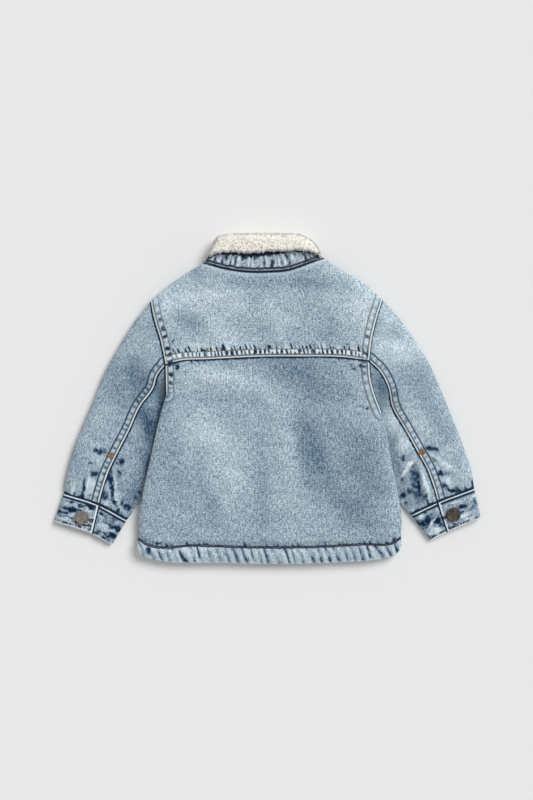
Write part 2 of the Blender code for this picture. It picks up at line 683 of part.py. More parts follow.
def front(side, finish):
    """One front. At the placket the left front is the outer layer, and both ride on the buttons' heads."""
    plan = front_plan(side)
    drawn = inset(plan, SEAM_GAP, 0.0, SEAM_GAP / 2, 0.0)
    under = body_under(plan)
    over = front_over(plan)
    lap_reach = PLACKET_HALF + 1.5 * PLACKET_STEP
    low = np.maximum(under, FRONT_BUTTON_HEIGHT + SHANK_LEAST + SEAM_GAP)
    if side == "left":
        lapped = plan[..., 0] > -lap_reach
        over = np.where(lapped, low + PLACKET_WALL, over)
    else:
        lapped = plan[..., 0] < lap_reach
        low = low + PLACKET_WALL + SEAM_GAP
    under = np.where(lapped, low, under)
    wall("front_" + side, solid(drawn, under), solid(drawn, over), finish)


def sleeve_wall(name, plan, side, fold_first, finish):
    """A sleeve panel: its upper layer, its rolled fold and its lower layer, as one bent wall."""
    folded = plan if fold_first else plan[:, ::-1]
    tops = solid(folded, sleeve_top(folded, side) + fell_of(folded, side, name))
    unders = solid(folded, sleeve_under(folded, side))
    outer = np.concatenate([tops[:, ::-1], unders], axis=1)
    inner_plan = inset(folded, left=FOLD_WALL)
    middle = sleeve_middle(inner_plan, side)
    upper = solid(inner_plan, middle + SEAM_GAP / 2)
    lower = solid(inner_plan, middle - SEAM_GAP / 2)
    inner = np.concatenate([upper[:, ::-1], lower], axis=1)
    wall(name, outer, inner, finish)


def fell_of(plan, side, name):
    """The felled step, which only the outer sleeve panel carries, along its seam."""
    if "under" in name:
        return np.zeros(plan.shape[:-1])
    return felled(plan, EDGE[side]["seam"])


def sleeve(side, finish):
    """Both panels of a sleeve: the outer one laps over the under one at the felled seam."""
    edge = EDGE[side]
    end = cuff_line(side)
    parts = np.argmin(np.linalg.norm(end - edge["seam"][-1], axis=1))
    outer = coons(edge["above"], end[: parts + 1], edge["outer"], edge["seam"])
    outer = respaced(outer, (0.0, 1.5, 5.0, TOP_ROLL), SEAM_STEPS, 2)
    outer = turned(respaced(turned(outer), (0.0, 6.0), (0.0, 4.0, 12.0), 13))
    outer = inset(outer, right=SEAM_GAP / 2, top=SEAM_GAP / 2, bottom=SEAM_GAP / 2)
    sleeve_wall("sleeve_outer_" + side, outer, side, True, finish)
    under = coons(edge["below"], end[parts:], edge["seam"], edge["inner"])
    under = respaced(under, (0.0, 3.0), (0.0, 2.0, 8.0), 3)
    under = turned(respaced(turned(under), (0.0, 6.0), (0.0, 4.0, 12.0), 13))
    under = inset(under, left=SEAM_GAP / 2, top=SEAM_GAP / 2, bottom=SEAM_GAP / 2)
    sleeve_wall("sleeve_under_" + side, under, side, False, finish)


def cuff_plan(side):
    """The plan of a cuff, and the share of each row's width at which its lapped end lies."""
    outer, seam, inner = np.array([SLEEVE[side][-1], CUFF_END[side]]).reshape(2, 3, 2).transpose(1, 0, 2)
    laps = np.linalg.norm(seam - outer, axis=1) / np.linalg.norm(inner - outer, axis=1)
    plan = coons(cuff_line(side), cuff_hem(side), outer, inner, columns=97, rows=5)
    return plan, np.linspace(laps[0], laps[1], len(plan))


def cuff_rise(shares):
    """The share of a cuff's full height at these shares of its width, rolled at both folds."""
    return roll(np.minimum(shares, 1.0 - shares) * CUFF_WIDTH / CUFF_ROLL)


def cuff(side, finish):
    """A cuff: one band from its hidden end, round the inner fold and the outer fold, to its lapped end."""
    plan, laps = cuff_plan(side)
    plan = inset(plan, top=SEAM_GAP / 2)
    lap = laps[0]

    def layer(shares, height):
        # The lapped end slants: both sides of it are stretched to where it lies in each row
        at = np.array([
            spaced(row, np.interp(shares, (0.0, lap, 1.0), (0.0, row_lap, 1.0))) for row, row_lap in zip(plan, laps)
        ])
        return solid(at, np.broadcast_to(height, at.shape[:-1]))

    hidden = np.linspace(lap - CUFF_UNDERLAP, lap + 0.01, 4)
    under = np.concatenate([hidden, [lap + 0.07, 0.5 * (lap + 1.08), 0.92, 0.97, 1.0]])
    floor = np.array([0.97, 0.88, 0.5, 0.12, 0.03])
    over = np.array([0.0, 0.03, 0.09, 0.2, lap - 0.1, lap - 0.002])
    lapped = CUFF_HEIGHT - CUFF_WALL - SEAM_GAP
    edge = CUFF_EDGE_LOW + CUFF_WALL
    under_full = lapped + (CUFF_HEIGHT - 0.6 - lapped) * ease((under - lap - 0.01) / 0.06)
    under_top = edge + (under_full - edge) * np.where(under > 0.7, cuff_rise(under), 1.0)
    over_top = edge + (CUFF_HEIGHT - edge) * np.where(over < 0.3, cuff_rise(over), 1.0)
    floor_low = CUFF_EDGE_LOW * (1.0 - cuff_rise(floor))
    outer = [layer(under, under_top), layer(floor, floor_low), layer(over, over_top)]

    tuck = FOLD_WALL / CUFF_WIDTH
    squeeze = 1.0 - 2.0 * tuck
    under_in = np.where(under > lap, lap + (under - lap) * (1.0 - tuck - lap) / (1.0 - lap), under)
    over_in = np.where(over < lap - 0.15, tuck + over * (1.0 - tuck / (lap - 0.15)), over)
    floor_in = 0.5 + (floor - 0.5) * squeeze
    under_low = np.minimum(under_top - CUFF_WALL, under_full - CUFF_WALL)
    over_low = over_top - CUFF_WALL
    floor_high = np.full(len(floor), CUFF_WALL)
    under_low[-1] = 0.5 * (CUFF_WALL + under_low[-2])
    over_low[0] = 0.5 * (CUFF_WALL + over_low[1])
    inner = [layer(under_in, under_low), layer(floor_in, floor_high), layer(over_in, over_low)]
    wall("cuff_" + side, np.concatenate(outer, axis=1), np.concatenate(inner, axis=1), finish)


def turned_solid(name, profile, centre, finish, segments):
    """A solid turned about an upright axis through centre. The profile runs down its outer side."""
    mesh = bpy.data.meshes.new(name)
    points = [(r * MM, 0.0, z * MM) for r, z in profile]
    mesh.from_pydata(points, [(k, k + 1) for k in range(len(points) - 1)], [])
    made = place(name, mesh, finish)
    made.location = (centre[0] * MM, centre[1] * MM, centre[2] * MM)
    spin = made.modifiers.new("turned", "SCREW")
    spin.steps = segments
    spin.render_steps = segments
    spin.use_merge_vertices = True
    spin.merge_threshold = 0.00001
    return made


def cuff_button(side, finish):
    """A shank button on the cuff's lapped end: a dished head with a rim, on a short shank."""
    x, y = CUFF_BUTTON[side]
    top = SHANK_HEIGHT + BUTTON_HEAD
    profile = [
        (0.0, top - 0.9),
        (2.2, top - 0.7),
        (4.6, top - 0.75),
        (BUTTON_RADIUS - BUTTON_RIM, top - 0.5),
        (BUTTON_RADIUS - 0.7 * BUTTON_RIM, top),
        (BUTTON_RADIUS - 0.2 * BUTTON_RIM, top - 0.3),
        (BUTTON_RADIUS, top - 1.1),
        (BUTTON_RADIUS - 0.6, SHANK_HEIGHT),
        (SHANK_RADIUS, SHANK_HEIGHT),
        (SHANK_RADIUS, 0.0),
        (0.0, 0.0),
    ]
    turned_solid("cuff_button_" + side, profile, (x, y, CUFF_HEIGHT + SEAM_GAP), finish, 24)


def front_button(number, finish):
    """A front button, lying face down on the floor, with its shank up against the placket."""
    x, y = front_button_places()[number]
    under = float(body_under(np.array([[x, y]]))[0])
    placket = max(under - SEAM_GAP, FRONT_BUTTON_HEIGHT + SHANK_LEAST)
    profile = [
        (0.0, placket),
        (SHANK_RADIUS, placket),
        (SHANK_RADIUS, FRONT_BUTTON_HEIGHT),
        (FRONT_BUTTON_RADIUS - 0.5, FRONT_BUTTON_HEIGHT),
        (FRONT_BUTTON_RADIUS, FRONT_BUTTON_HEIGHT - 0.5),
        (FRONT_BUTTON_RADIUS, 0.4),
        (FRONT_BUTTON_RADIUS - 0.5, 0.0),
        (0.0, 0.0),
    ]
    turned_solid(f"front_button_{number + 1}", profile, (x, y, 0.0), finish, 16)


def line_y(line, x):
    """The height in plan of a line that runs from left to right, above each x."""
    return np.interp(x, line[:, 0], line[:, 1])


def collar_ends(lower):
    """The collar's two ends: curved where the fall shows, and straight down to the neckline."""
    if lower is FALL_LINE:
        return EDGE["left"]["collar_end"], EDGE["right"]["collar_end"]
    return np.array([FOLD_LINE[0], lower[0]]), np.array([FOLD_LINE[-1], lower[-1]])


def from_collar_ends(points):
    """Distance from the nearer of the collar's two ends."""
    return np.minimum(*[distance(points, line) for line in collar_ends(FALL_LINE)])


def fall_under(points):
    """The lower surface of the fall's pile, which dips where the collar turns down at its ends."""
    return END_LOW + (FALL_UNDER - END_LOW) * ease(from_collar_ends(points) / FALL_ROLL)


def collar_sherpa(finish):
    """The pile side of the collar: the fall on top, over the fold, and the stand's inside on the floor."""
    end_steps = (0.0, 2.5, 5.0, 7.5, FALL_ROLL)

    def layer(lower, far):
        plan = coons(FOLD_LINE, lower, *collar_ends(lower))
        return respaced(turned(respaced(plan, end_steps, end_steps, 12)), (0.0, 1.2, 4.0, FALL_ROLL), far, 1)

    fall = layer(FALL_LINE, (0.0, 1.6, FALL_LIP))
    leg = inset(layer(LEG_LINE, (0.0, 6.0, 10.0)), right=SEAM_GAP / 2)
    edge = np.minimum(from_collar_ends(fall), distance(fall, FOLD_LINE))
    top = END_LOW + 1.0 + (FALL_HEIGHT - END_LOW - 1.0) * roll(edge / FALL_ROLL)
    lip = (FALL_HEIGHT - FALL_UNDER - LIP_WALL) * (1.0 - roll(distance(fall, FALL_LINE) / FALL_LIP))
    top = np.maximum(top - lip, fall_under(fall) + LIP_WALL)
    edge = np.minimum(from_collar_ends(leg), distance(leg, FOLD_LINE))
    low = (LEG_TOP - LIP_WALL) * (1.0 - roll(edge / LEG_ROLL))
    outer = [solid(fall, top)[:, ::-1], solid(leg, low)[:, 1:]]
    fall_in, leg_in = shrunk(fall, SHERPA_TURN), shrunk(leg, SHERPA_TURN)
    leg_height = np.full(leg.shape[:2], LEG_TOP)
    inner = [solid(fall_in, fall_under(fall_in))[:, ::-1], solid(leg_in, leg_height)[:, 1:]]
    wall("collar_sherpa", np.concatenate(outer, axis=1), np.concatenate(inner, axis=1), finish)


def collar_under(finish):
    """The denim side of the collar: the stand from the neckline to the fold, and the fall's underside.

    Both layers share the row of points where the cloth bends back, and the stand's ends slant in to it.
    """
    columns = 4 * STAND_WAVES + 1
    short, bend = FALL_ROLL + 1.0, SHERPA_TURN + 2.5
    bent = beside_line(FOLD_LINE, short, -bend, columns)
    bent_inside = beside_line(FOLD_LINE, short, BEND - bend, columns)
    lip_row = beside_line(FALL_LINE, short + 4.0, 1.5, columns)
    neck_row = beside_line(NECK_LINE, 1.5, 1.5 * SEAM_GAP, columns)
    left = np.array([neck_row[0], STAND_CORNERS[0], bent[0]])
    right = np.array([neck_row[-1], STAND_CORNERS[1], bent[-1]])
    stand = coons(neck_row, bent, left, right, columns=columns, rows=8)
    stand[-1] = bent
    x, y = stand[..., 0], stand[..., 1]
    neck, lip = line_y(NECK_LINE, x), line_y(FALL_LINE, x)
    climb = ease((y - neck) / np.maximum(lip - neck, 6.0))
    shows = ease((y - neck - 1.5) / 3.0) * ease((lip - 1.0 - y) / 4.0)
    waves = STAND_WAVE_HEIGHT * np.sin(2.0 * np.pi * STAND_WAVES * np.linspace(0.0, 1.0, columns)) * shows
    low = LEG_TOP + SEAM_GAP
    top = STAND_AT_NECK + (STAND_AT_FALL - STAND_AT_NECK) * climb + waves
    ceiling = np.where(y > lip - 8.0, fall_under(stand) - 0.9, STAND_AT_NECK + 2.0)
    ceiling = np.where(y > lip, fall_under(stand) - UNDER_COLLAR_WALL - 0.8, ceiling)
    top = np.maximum(np.minimum(top, ceiling), low + 0.5)
    fall, fall_inside = np.array([bent, lip_row]), np.array([bent_inside, lip_row])
    stand_inside = np.concatenate([stand[:-1], [bent_inside]])
    fall_top = fall_under(fall) - 0.5
    outer = [solid(stand, top), solid(fall, fall_top - UNDER_COLLAR_WALL)]
    inner = [solid(stand_inside, np.full(stand.shape[:2], low)), solid(fall_inside, fall_top)]
    wall("collar_under", np.concatenate(outer), np.concatenate(inner), finish)


def collar_wing(side, finish):
    """The front end of the collar, which is folded outwards and lies flat under its front."""
    edge = EDGE[side]
    top = np.array([edge["wing_edge"][0], edge["wing_fold"][0]])
    tip = np.array([edge["wing_edge"][-1], edge["wing_fold"][-1]])
    plan = coons(top, tip, edge["wing_edge"], edge["wing_fold"], columns=5, rows=9)
    flat = np.zeros(plan.shape[:-1])
    wall("collar_wing_" + side, solid(plan, flat + WING_WALL), solid(plan, flat), finish)


def main():
    """Builds the jacket, piece by piece, in the order that a maker would sew it."""
    denim = material("denim", DENIM)
    dark = material("denim_dark", DENIM_DARK)
    sherpa = material("sherpa", SHERPA)
    metal = material("button_metal", METAL)
    back_yoke(denim)
    back_panel(denim)
    back_hem(denim)
    for side in ("left", "right"):
        front(side, denim)
        sleeve(side, denim)
        cuff(side, dark)
        cuff_button(side, metal)
    for number in range(FRONT_BUTTONS):
        front_button(number, metal)
    collar_sherpa(sherpa)
    collar_under(denim)
    for side in ("left", "right"):
        collar_wing(side, sherpa)


for old in list(bpy.data.objects):
    bpy.data.objects.remove(old, do_unlink=True)
bpy.context.scene.collection.children.link(bpy.data.collections.new(COLLECTION))
main()
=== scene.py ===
"""Looks of a toddler's denim jacket with a sherpa collar, buttoned and laid flat on its front.

Every length is in millimetres, and MM turns it into metres where a mesh, the camera or the floor is
made. +Z is up out of the jacket's back, +Y runs towards the collar and +X towards the wearer's right.

A cloth piece is a closed wall between an outer and an inner grid. Both come from a plan patch between
the piece's seams and from the height of the laid cloth over that plan. The outer grid also carries
three marks: how worn the denim is, how much indigo is left in it, and its broad tone. The wear mark
also holds a painted highlight, the indigo mark painted shadow and shade, and the tone partly painted
light and shade. On the pile the wear mark holds the pile's height instead, which sets the painted
shade of its hollows.
"""

import logging
import math
from collections.abc import Callable
from dataclasses import dataclass, field
from enum import Enum
from typing import NamedTuple

import bmesh
import bpy
import numpy as np
from bpy.types import Material, Mesh, Node, NodeSocket, NodeTree, Object
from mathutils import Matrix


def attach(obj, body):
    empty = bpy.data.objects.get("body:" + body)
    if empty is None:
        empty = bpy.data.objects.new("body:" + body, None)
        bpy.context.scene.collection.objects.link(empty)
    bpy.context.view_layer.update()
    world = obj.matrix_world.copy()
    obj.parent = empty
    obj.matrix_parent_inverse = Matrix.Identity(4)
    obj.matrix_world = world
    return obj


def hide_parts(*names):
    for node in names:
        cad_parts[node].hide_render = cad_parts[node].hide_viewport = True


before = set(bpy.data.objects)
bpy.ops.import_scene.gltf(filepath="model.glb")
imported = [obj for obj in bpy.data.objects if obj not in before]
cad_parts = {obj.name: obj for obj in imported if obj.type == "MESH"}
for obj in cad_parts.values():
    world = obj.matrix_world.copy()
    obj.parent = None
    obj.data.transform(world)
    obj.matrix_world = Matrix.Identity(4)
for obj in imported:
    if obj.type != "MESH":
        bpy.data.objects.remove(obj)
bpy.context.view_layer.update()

Array = np.ndarray
Height = Callable[[Array], Array]
MM = 0.001
LOG = logging.getLogger("jacket")
CLOTH_UV = "cloth"
MARKS = "marks"
SEAM_GAP = 0.3
INNER_STEP = 4
FEW = (slice(None, None, INNER_STEP),) * 2


class Side(Enum):
    """The wearer's left, which lies at -X, and right."""

    LEFT = "left"
    RIGHT = "right"


class Mark(NamedTuple):
    """A point of the plan."""

    x: float
    y: float


class Section(NamedTuple):
    """Where a section of a sleeve crosses its outer edge, its felled seam and its inner edge."""

    outer_x: float
    outer_y: float
    seam_x: float
    seam_y: float
    inner_x: float
    inner_y: float


class Fold(NamedTuple):
    """A soft ridge (strength above zero) or trough of the cloth. The angle is in degrees."""

    x: float
    y: float
    angle: float
    length: float
    width: float
    strength: float


class Patch(Fold):
    """A soft lighter (strength above zero) or darker area, partly of the wash and partly painted light and
    shade.
    """


class Crease(Fold):
    """A pressed crease: indigo is left in a valley (strength above zero) and worn off a ridge. Two rows of
    the panels' table are painted shade instead.
    """


def rows(kind: type, values: tuple) -> list:
    """A table's rows: each takes as many of the values as its kind has."""
    count = len(kind._fields)
    return [kind(*map(float, values[k : k + count])) for k in range(0, len(values), count)]


def sides(kind: type, left: tuple, right: tuple) -> dict:
    """The tables of both sides."""
    return {Side.LEFT: rows(kind, left), Side.RIGHT: rows(kind, right)}


# Plan of the body
SHOULDER = sides(Mark, (
    -73, 156.5,  -96.6, 141.5,  -116.2, 127.7,  -134, 112.1,
), (
    64.4, 161.8,  85.1, 147.8,  109.3, 134,  132.3, 113.9,
))
ARMHOLE_ABOVE = sides(Mark, (
    -134, 112.1,  -130.1, 92.8,  -122.5, 67,  -116.8, 39.4,
), (
    132.3, 113.9,  125.6, 92.8,  119.6, 67,  116.8, 43.6,
))
ARMHOLE_BELOW = sides(Mark, (
    -116.8, 39.4,  -116.3, 21.3,  -116.1, 4.6,
), (
    116.8, 43.6,  118, 25,  123, 4.6,  131.1, -16.1,
))
BODY_SIDE = sides(Mark, (
    -116.1, 4.6,  -123, -18.4,  -132.3, -58.7,  -142.3, -104.7,  -147.9, -138,  -148.9, -160.2,
), (
    131.1, -16.1,  136.4, -35.7,  144.3, -81.7,  151.8, -115,  154.8, -140,  153.8, -158.5,
))
NECKLINE = rows(Mark, (
    -73, 156.5,  -55, 151.2,  -25.3, 146.1,  0, 145.8,  24.6, 147.9,  49.6, 156.6,  64.4, 161.8,
))
YOKE_SEAM = rows(Mark, (
    -116.8, 39.4,  -100.3, 43.4,  -69.5, 45,  -3.5, 48,  36.5, 48.2,  91.5, 47,  116.8, 43.6,
))
HEM_SEAM = rows(Mark, (
    -148.9, -160.2,  -139, -166.4,  -80.5, -168,  -8, -170.3,  69, -169,  110, -166.6,  146, -164.4,
    153.8, -158.5,
))
HEM_EDGE = rows(Mark, (
    -148.9, -172,  -144.9, -180.5,  -134, -184,  -47.5, -188.8,  7.5, -190,  80, -188.3,  135, -183.3,
    149, -179,  154, -170.5,
))
FRONT_NECK = sides(Mark, (
    -73, 156.5,  -62, 137,  -38, 117,  -2, 110,
), (
    64.4, 161.8,  55, 139,  34, 117,  -2, 110,
))

# Plan of the sleeves and cuffs
SLEEVE = sides(Section, (
    -134, 112.1, -116.8, 39.4, -116.1, 4.6,  -150.6, 91, -126.8, 26, -115.8, -9,
    -170.8, 58.7, -130.6, 13.5, -112.6, -22,  -186.9, 29, -146.5, -9.5, -112.4, -38,
    -200.1, -3.5, -158.4, -35.7, -117.8, -60,  -212.3, -32, -172.7, -63.4, -126, -83,
    -224, -62, -182.5, -84, -138.5, -104.7,  -230.9, -88, -189.2, -104, -149, -121,
    -234.6, -109.8, -194.4, -122.9, -162.2, -140.3,
), (
    132.3, 113.9, 116.8, 43.6, 131.1, -16.1,  150, 94.5, 129.5, 31, 129.6, -30,
    168, 69.5, 138.6, 14, 126.4, -43,  187.5, 38, 143.6, -8.4, 126.6, -60,
    200.9, 7, 158.5, -35.7, 129.4, -75,  213.9, -24.2, 173.2, -62, 136.4, -92,
    226.3, -57, 184.1, -81.9, 146.5, -109,  234.9, -83, 190.6, -99.4, 157, -124.5,
    238.6, -104, 196.8, -119.8, 165.6, -134.4,
))
CUFF_END = {
    Side.LEFT: Section(-245.6, -141.5, -202.1, -155.6, -178.9, -168.1),
    Side.RIGHT: Section(246.1, -137.3, 207.8, -153.4, 188.3, -163.0),
}
CUFF_BUTTON = {Side.LEFT: Mark(-212.8, -136.9), Side.RIGHT: Mark(214.2, -133.2)}
BARTACK = {Side.LEFT: Mark(-180.4, -66.1), Side.RIGHT: Mark(177.5, -61.9)}
BARTACK_ANGLE = {Side.LEFT: -19.0, Side.RIGHT: 22.0}
BARTACK_SIZE = (8.4, 3.8)

# Plan of the collar
COLLAR_FOLD = rows(Mark, (
    -58, 185.6,  -49, 188.6,  -25, 189.6,  12, 189.8,  39, 188,  51, 182,
))
COLLAR_EDGE = rows(Mark, (
    -69.2, 162.8,  -62, 165.5,  -50, 168.4,  -25, 167.4,  12, 169.6,  36.8, 170.2,  55, 167,  64.4, 160.6,
))
COLLAR_END = sides(Mark, (
    -58, 185.6,  -62.4, 178.6,  -66.8, 169,  -69.2, 162.8,
), (
    51, 182,  57.2, 175.6,  62, 167.6,  64.4, 160.6,
))
WING_FOLD = sides(Mark, (
    -56, 149,  -46, 142,  -31, 135,  -7, 127,
), (
    51, 151,  42, 143,  28, 135,  4, 127,
))
WING_EDGE = sides(Mark, (
    -75, 149,  -72, 134,  -60, 104,  -34, 76,
), (
    67, 152,  66, 136,  55, 104,  30, 76,
))

# The largest folds of the laid cloth, which the solids have too
BODY_FOLDS = rows(Fold, (
    -5, 134, 2, 150, 9, -1.4,  -5, 117, -2, 170, 10, 0.9,  -91, 91, -22, 46, 8, -1.5,
    -62, 76, -58, 40, 7, 0.9,  72, 88, -64, 50, 11, -1,  -52, 21, -10, 110, 12, 1.3,
    -55, 0, 0, 100, 8, -0.9,  38, -25, -84, 120, 15, -1.2,  16, -45, -88, 170, 12, 1.2,
    -62, -95, -70, 90, 9, -0.9,  -40, -105, -68, 110, 10, 1,  70, -110, -40, 80, 12, -0.9,
    109, -4, 4, 44, 4, -0.9,  104, -14, -14, 50, 6, 0.8,
))
SLEEVE_FOLDS = sides(Fold, (
    -176, -101, -80, 52, 4, -2.4,  -183.5, -104, -76, 42, 4, 1.4,  -168, -112, -66, 44, 4.5, -1.8,
    -160, -98, -62, 52, 7, 1.2,  -203, -92, -82, 44, 4, -1.2,  -150, 20, -50, 60, 9, -1.2,
), (
    170, -90, -84, 50, 5, -2.6,  179, -96, -74, 54, 4.5, 2,  161, -98, -64, 46, 5, 1.4,
    201, -84, -42, 44, 4, -1.6,  207, -96, -38, 36, 4, 1.2,  146, 68, 18, 40, 9, -1.1,
))

# Softer folds that only these surfaces have
BODY_CREASES = rows(Fold, (
    -30, 96, 62, 46, 5, 0.35,  22, 104, -70, 60, 7, 0.45,  45, 84, -78, 56, 5, -0.4,
    95, 112, 52, 50, 6, 0.4,  -88, 118, 30, 50, 7, 0.5,  -20, 70, -86, 34, 4, -0.4,
    82, 66, -80, 30, 4, -0.4,  -96, -20, -66, 70, 8, 0.5,  -84, -62, -60, 60, 7, -0.5,
    -5, -101, -88, 80, 5, -0.6,  4, -98, -86, 90, 5, 0.4,  64, -30, -72, 70, 7, 0.5,
    96, -58, -76, 80, 8, -0.5,  118, -112, -70, 60, 6, 0.5,  -120, -124, -74, 50, 6, 0.5,
    20, -142, 6, 90, 7, -0.4,  92, 8, 12, 46, 4.5, -0.6,  98, 18, 16, 40, 4, 0.4,  -96, 30, 20, 36, 5, 0.5,
))
SLEEVE_CREASES = sides(Fold, (
    -172, 40, -58, 60, 6, 0.6,  -186, 6, -64, 56, 6, -0.5,  -160, -6, -52, 44, 5, 0.6,
    -200, -46, -30, 40, 5, -0.5,  -152, -62, -64, 60, 5, -0.8,  -142, -74, -60, 50, 5, 0.6,
), (
    160, 44, 42, 46, 5, 0.7,  176, 20, 40, 50, 6, -0.6,  196, -10, 52, 50, 6, 0.6,
    150, -46, 66, 40, 6, 0.9,  205, -48, 48, 44, 5, -0.5,
))

# Broad light and dark areas, partly of the wash and partly painted light and shade
BODY_PATCHES = rows(Patch, (
    3, 133, 2, 200, 9, -0.11,  -60, 100, 0, 200, 34, 0.12,  70, 100, 0, 180, 34, 0.1,
    -72, 120, 6, 130, 13, 0.09,  -108, 110, 40, 80, 13, 0.16,  72, 150, -35, 60, 10, 0.12,
    112, 104, -50, 90, 18, 0.2,  -92, 88, -26, 62, 9, -0.15,  -54, 73, -12, 80, 9, 0.08,
    -25, 86, -70, 50, 8, -0.05,  14, 88, -75, 80, 9, 0.07,  62, 92, -70, 80, 14, -0.11,
    -95, 55, 10, 70, 9, 0.06,  -62, 27, -5, 130, 9, 0.19,  2, 6, -52, 76, 8, 0.1,
    24, -58, -86, 130, 8, 0.06,  46, -128, -58, 84, 8, 0.03,  -57, -1, -5, 130, 6, -0.07,
    -76, -36, -32, 90, 12, 0.08,  -42, -84, -80, 120, 11, 0.06,  -6, -94, -89, 140, 8, -0.13,
    38, 30, -10, 130, 17, -0.22,  56, -60, -72, 140, 14, -0.27,  90, -125, -45, 110, 14, -0.18,
    108, -80, -80, 190, 24, -0.18,  108, -22, -10, 80, 11, 0.08,  108, 8, -80, 60, 10, 0.12,
    98, 4, 10, 60, 8, -0.07,  -104, -90, -70, 150, 18, -0.09,  -68, -108, -74, 120, 9, -0.13,
    -102, -136, -50, 60, 7, 0.04,  -60, -60, -80, 180, 34, 0.1,  -140, -100, -78, 130, 5, 0.05,
    149, -100, 80, 120, 5, 0.08,  58, 4, 12, 96, 13, -0.17,  74, -30, -80, 90, 11, -0.1,
    42, -66, -80, 130, 8, -0.13,  55, -104, -60, 50, 10, -0.08,  -78, -98, -86, 90, 7, -0.06,
    0, -143, 0, 50, 10, -0.07,  -62, -147, -15, 80, 7, -0.06,  128, -146, 0, 44, 8, -0.06,
    -131, -145, -80, 50, 6, -0.06,  30, -128, -70, 60, 9, 0.05,  -48, -116, -70, 70, 8, 0.05,
    10, -32, -80, 70, 9, 0.06,  -45, 13, -2, 150, 6, 0.07,  -80, 40, 0, 70, 6, 0.09,
    -60, 60, 0, 120, 7, 0.07,  40, 54, 0, 120, 6, -0.06,  -8, 77, -10, 56, 8, -0.07,
    74, 82, -85, 66, 9, -0.1,  -90, 88, -22, 66, 8, -0.08,  42, 83, -75, 44, 6, -0.05,
    -76, 127, 4, 70, 6, -0.06,  -28, 132, -20, 46, 7, -0.07,  60, 131, 0, 70, 7, -0.1,
    -105, 136, 35, 96, 7, 0.12,  105, 134, -38, 96, 7, 0.1,  118, 60, -76, 70, 9, 0.12,
))
# The darkest rows of the sleeves, along the body's sides and below the armholes, are painted shade of the
# body's edge on the under panels.
SLEEVE_PATCHES = sides(Patch, (
    -150, 22, -56, 84, 16, -0.26,  -182, 20, -62, 110, 15, -0.1,  -128, -30, -60, 110, 15, -0.34,
    -116, -22, -72, 110, 7, -0.5,  -134, -84, -72, 80, 6.5, -0.4,  -148, -62, -70, 90, 12, -0.1,
    -137, -40, -80, 90, 6, -0.24,  -156, -112, 70, 84, 9, -0.22,  -168, 6, -70, 54, 9, -0.1,
    -210, -68, -60, 44, 9, -0.07,  -153, -42, -70, 60, 8, 0.06,  -199, -112, 80, 44, 10, 0.08,
    -138, 100, 60, 50, 9, 0.13,  -198, 6, 62, 130, 6, 0.08,  -185, -100, -20, 90, 40, 0.05,
), (
    152, 60, 40, 50, 16, -0.06,  146, 76, -20, 34, 6, -0.14,  128, 16, -66, 60, 10, -0.14,
    134, -16, -68, 50, 6, -0.14,  150, -52, -66, 90, 10, 0.1,  152, 62, -50, 80, 18, 0.32,
    186, -10, -56, 90, 18, -0.04,  155, -52, 50, 34, 10, 0.17,  151, -78, -76, 70, 3, -0.14,
    143, -24, -60, 50, 12, 0.22,  172, -24, -56, 80, 14, 0.16,  134, 98, -60, 60, 9, 0.16,
    125, 58, -75, 70, 8, 0.14,  131, 12, -75, 50, 6, -0.18,  141, -20, 0, 44, 9, 0.16,
    144, -47, -35, 40, 9, -0.18,  166, -50, -40, 66, 9, 0.11,  228, -92, -60, 50, 10, 0.09,
    197, -34, -50, 54, 9, -0.08,  176, 20, -60, 64, 9, -0.05,  150, 68, -10, 44, 8, -0.07,
    192, -95, 20, 90, 40, 0.06,
))
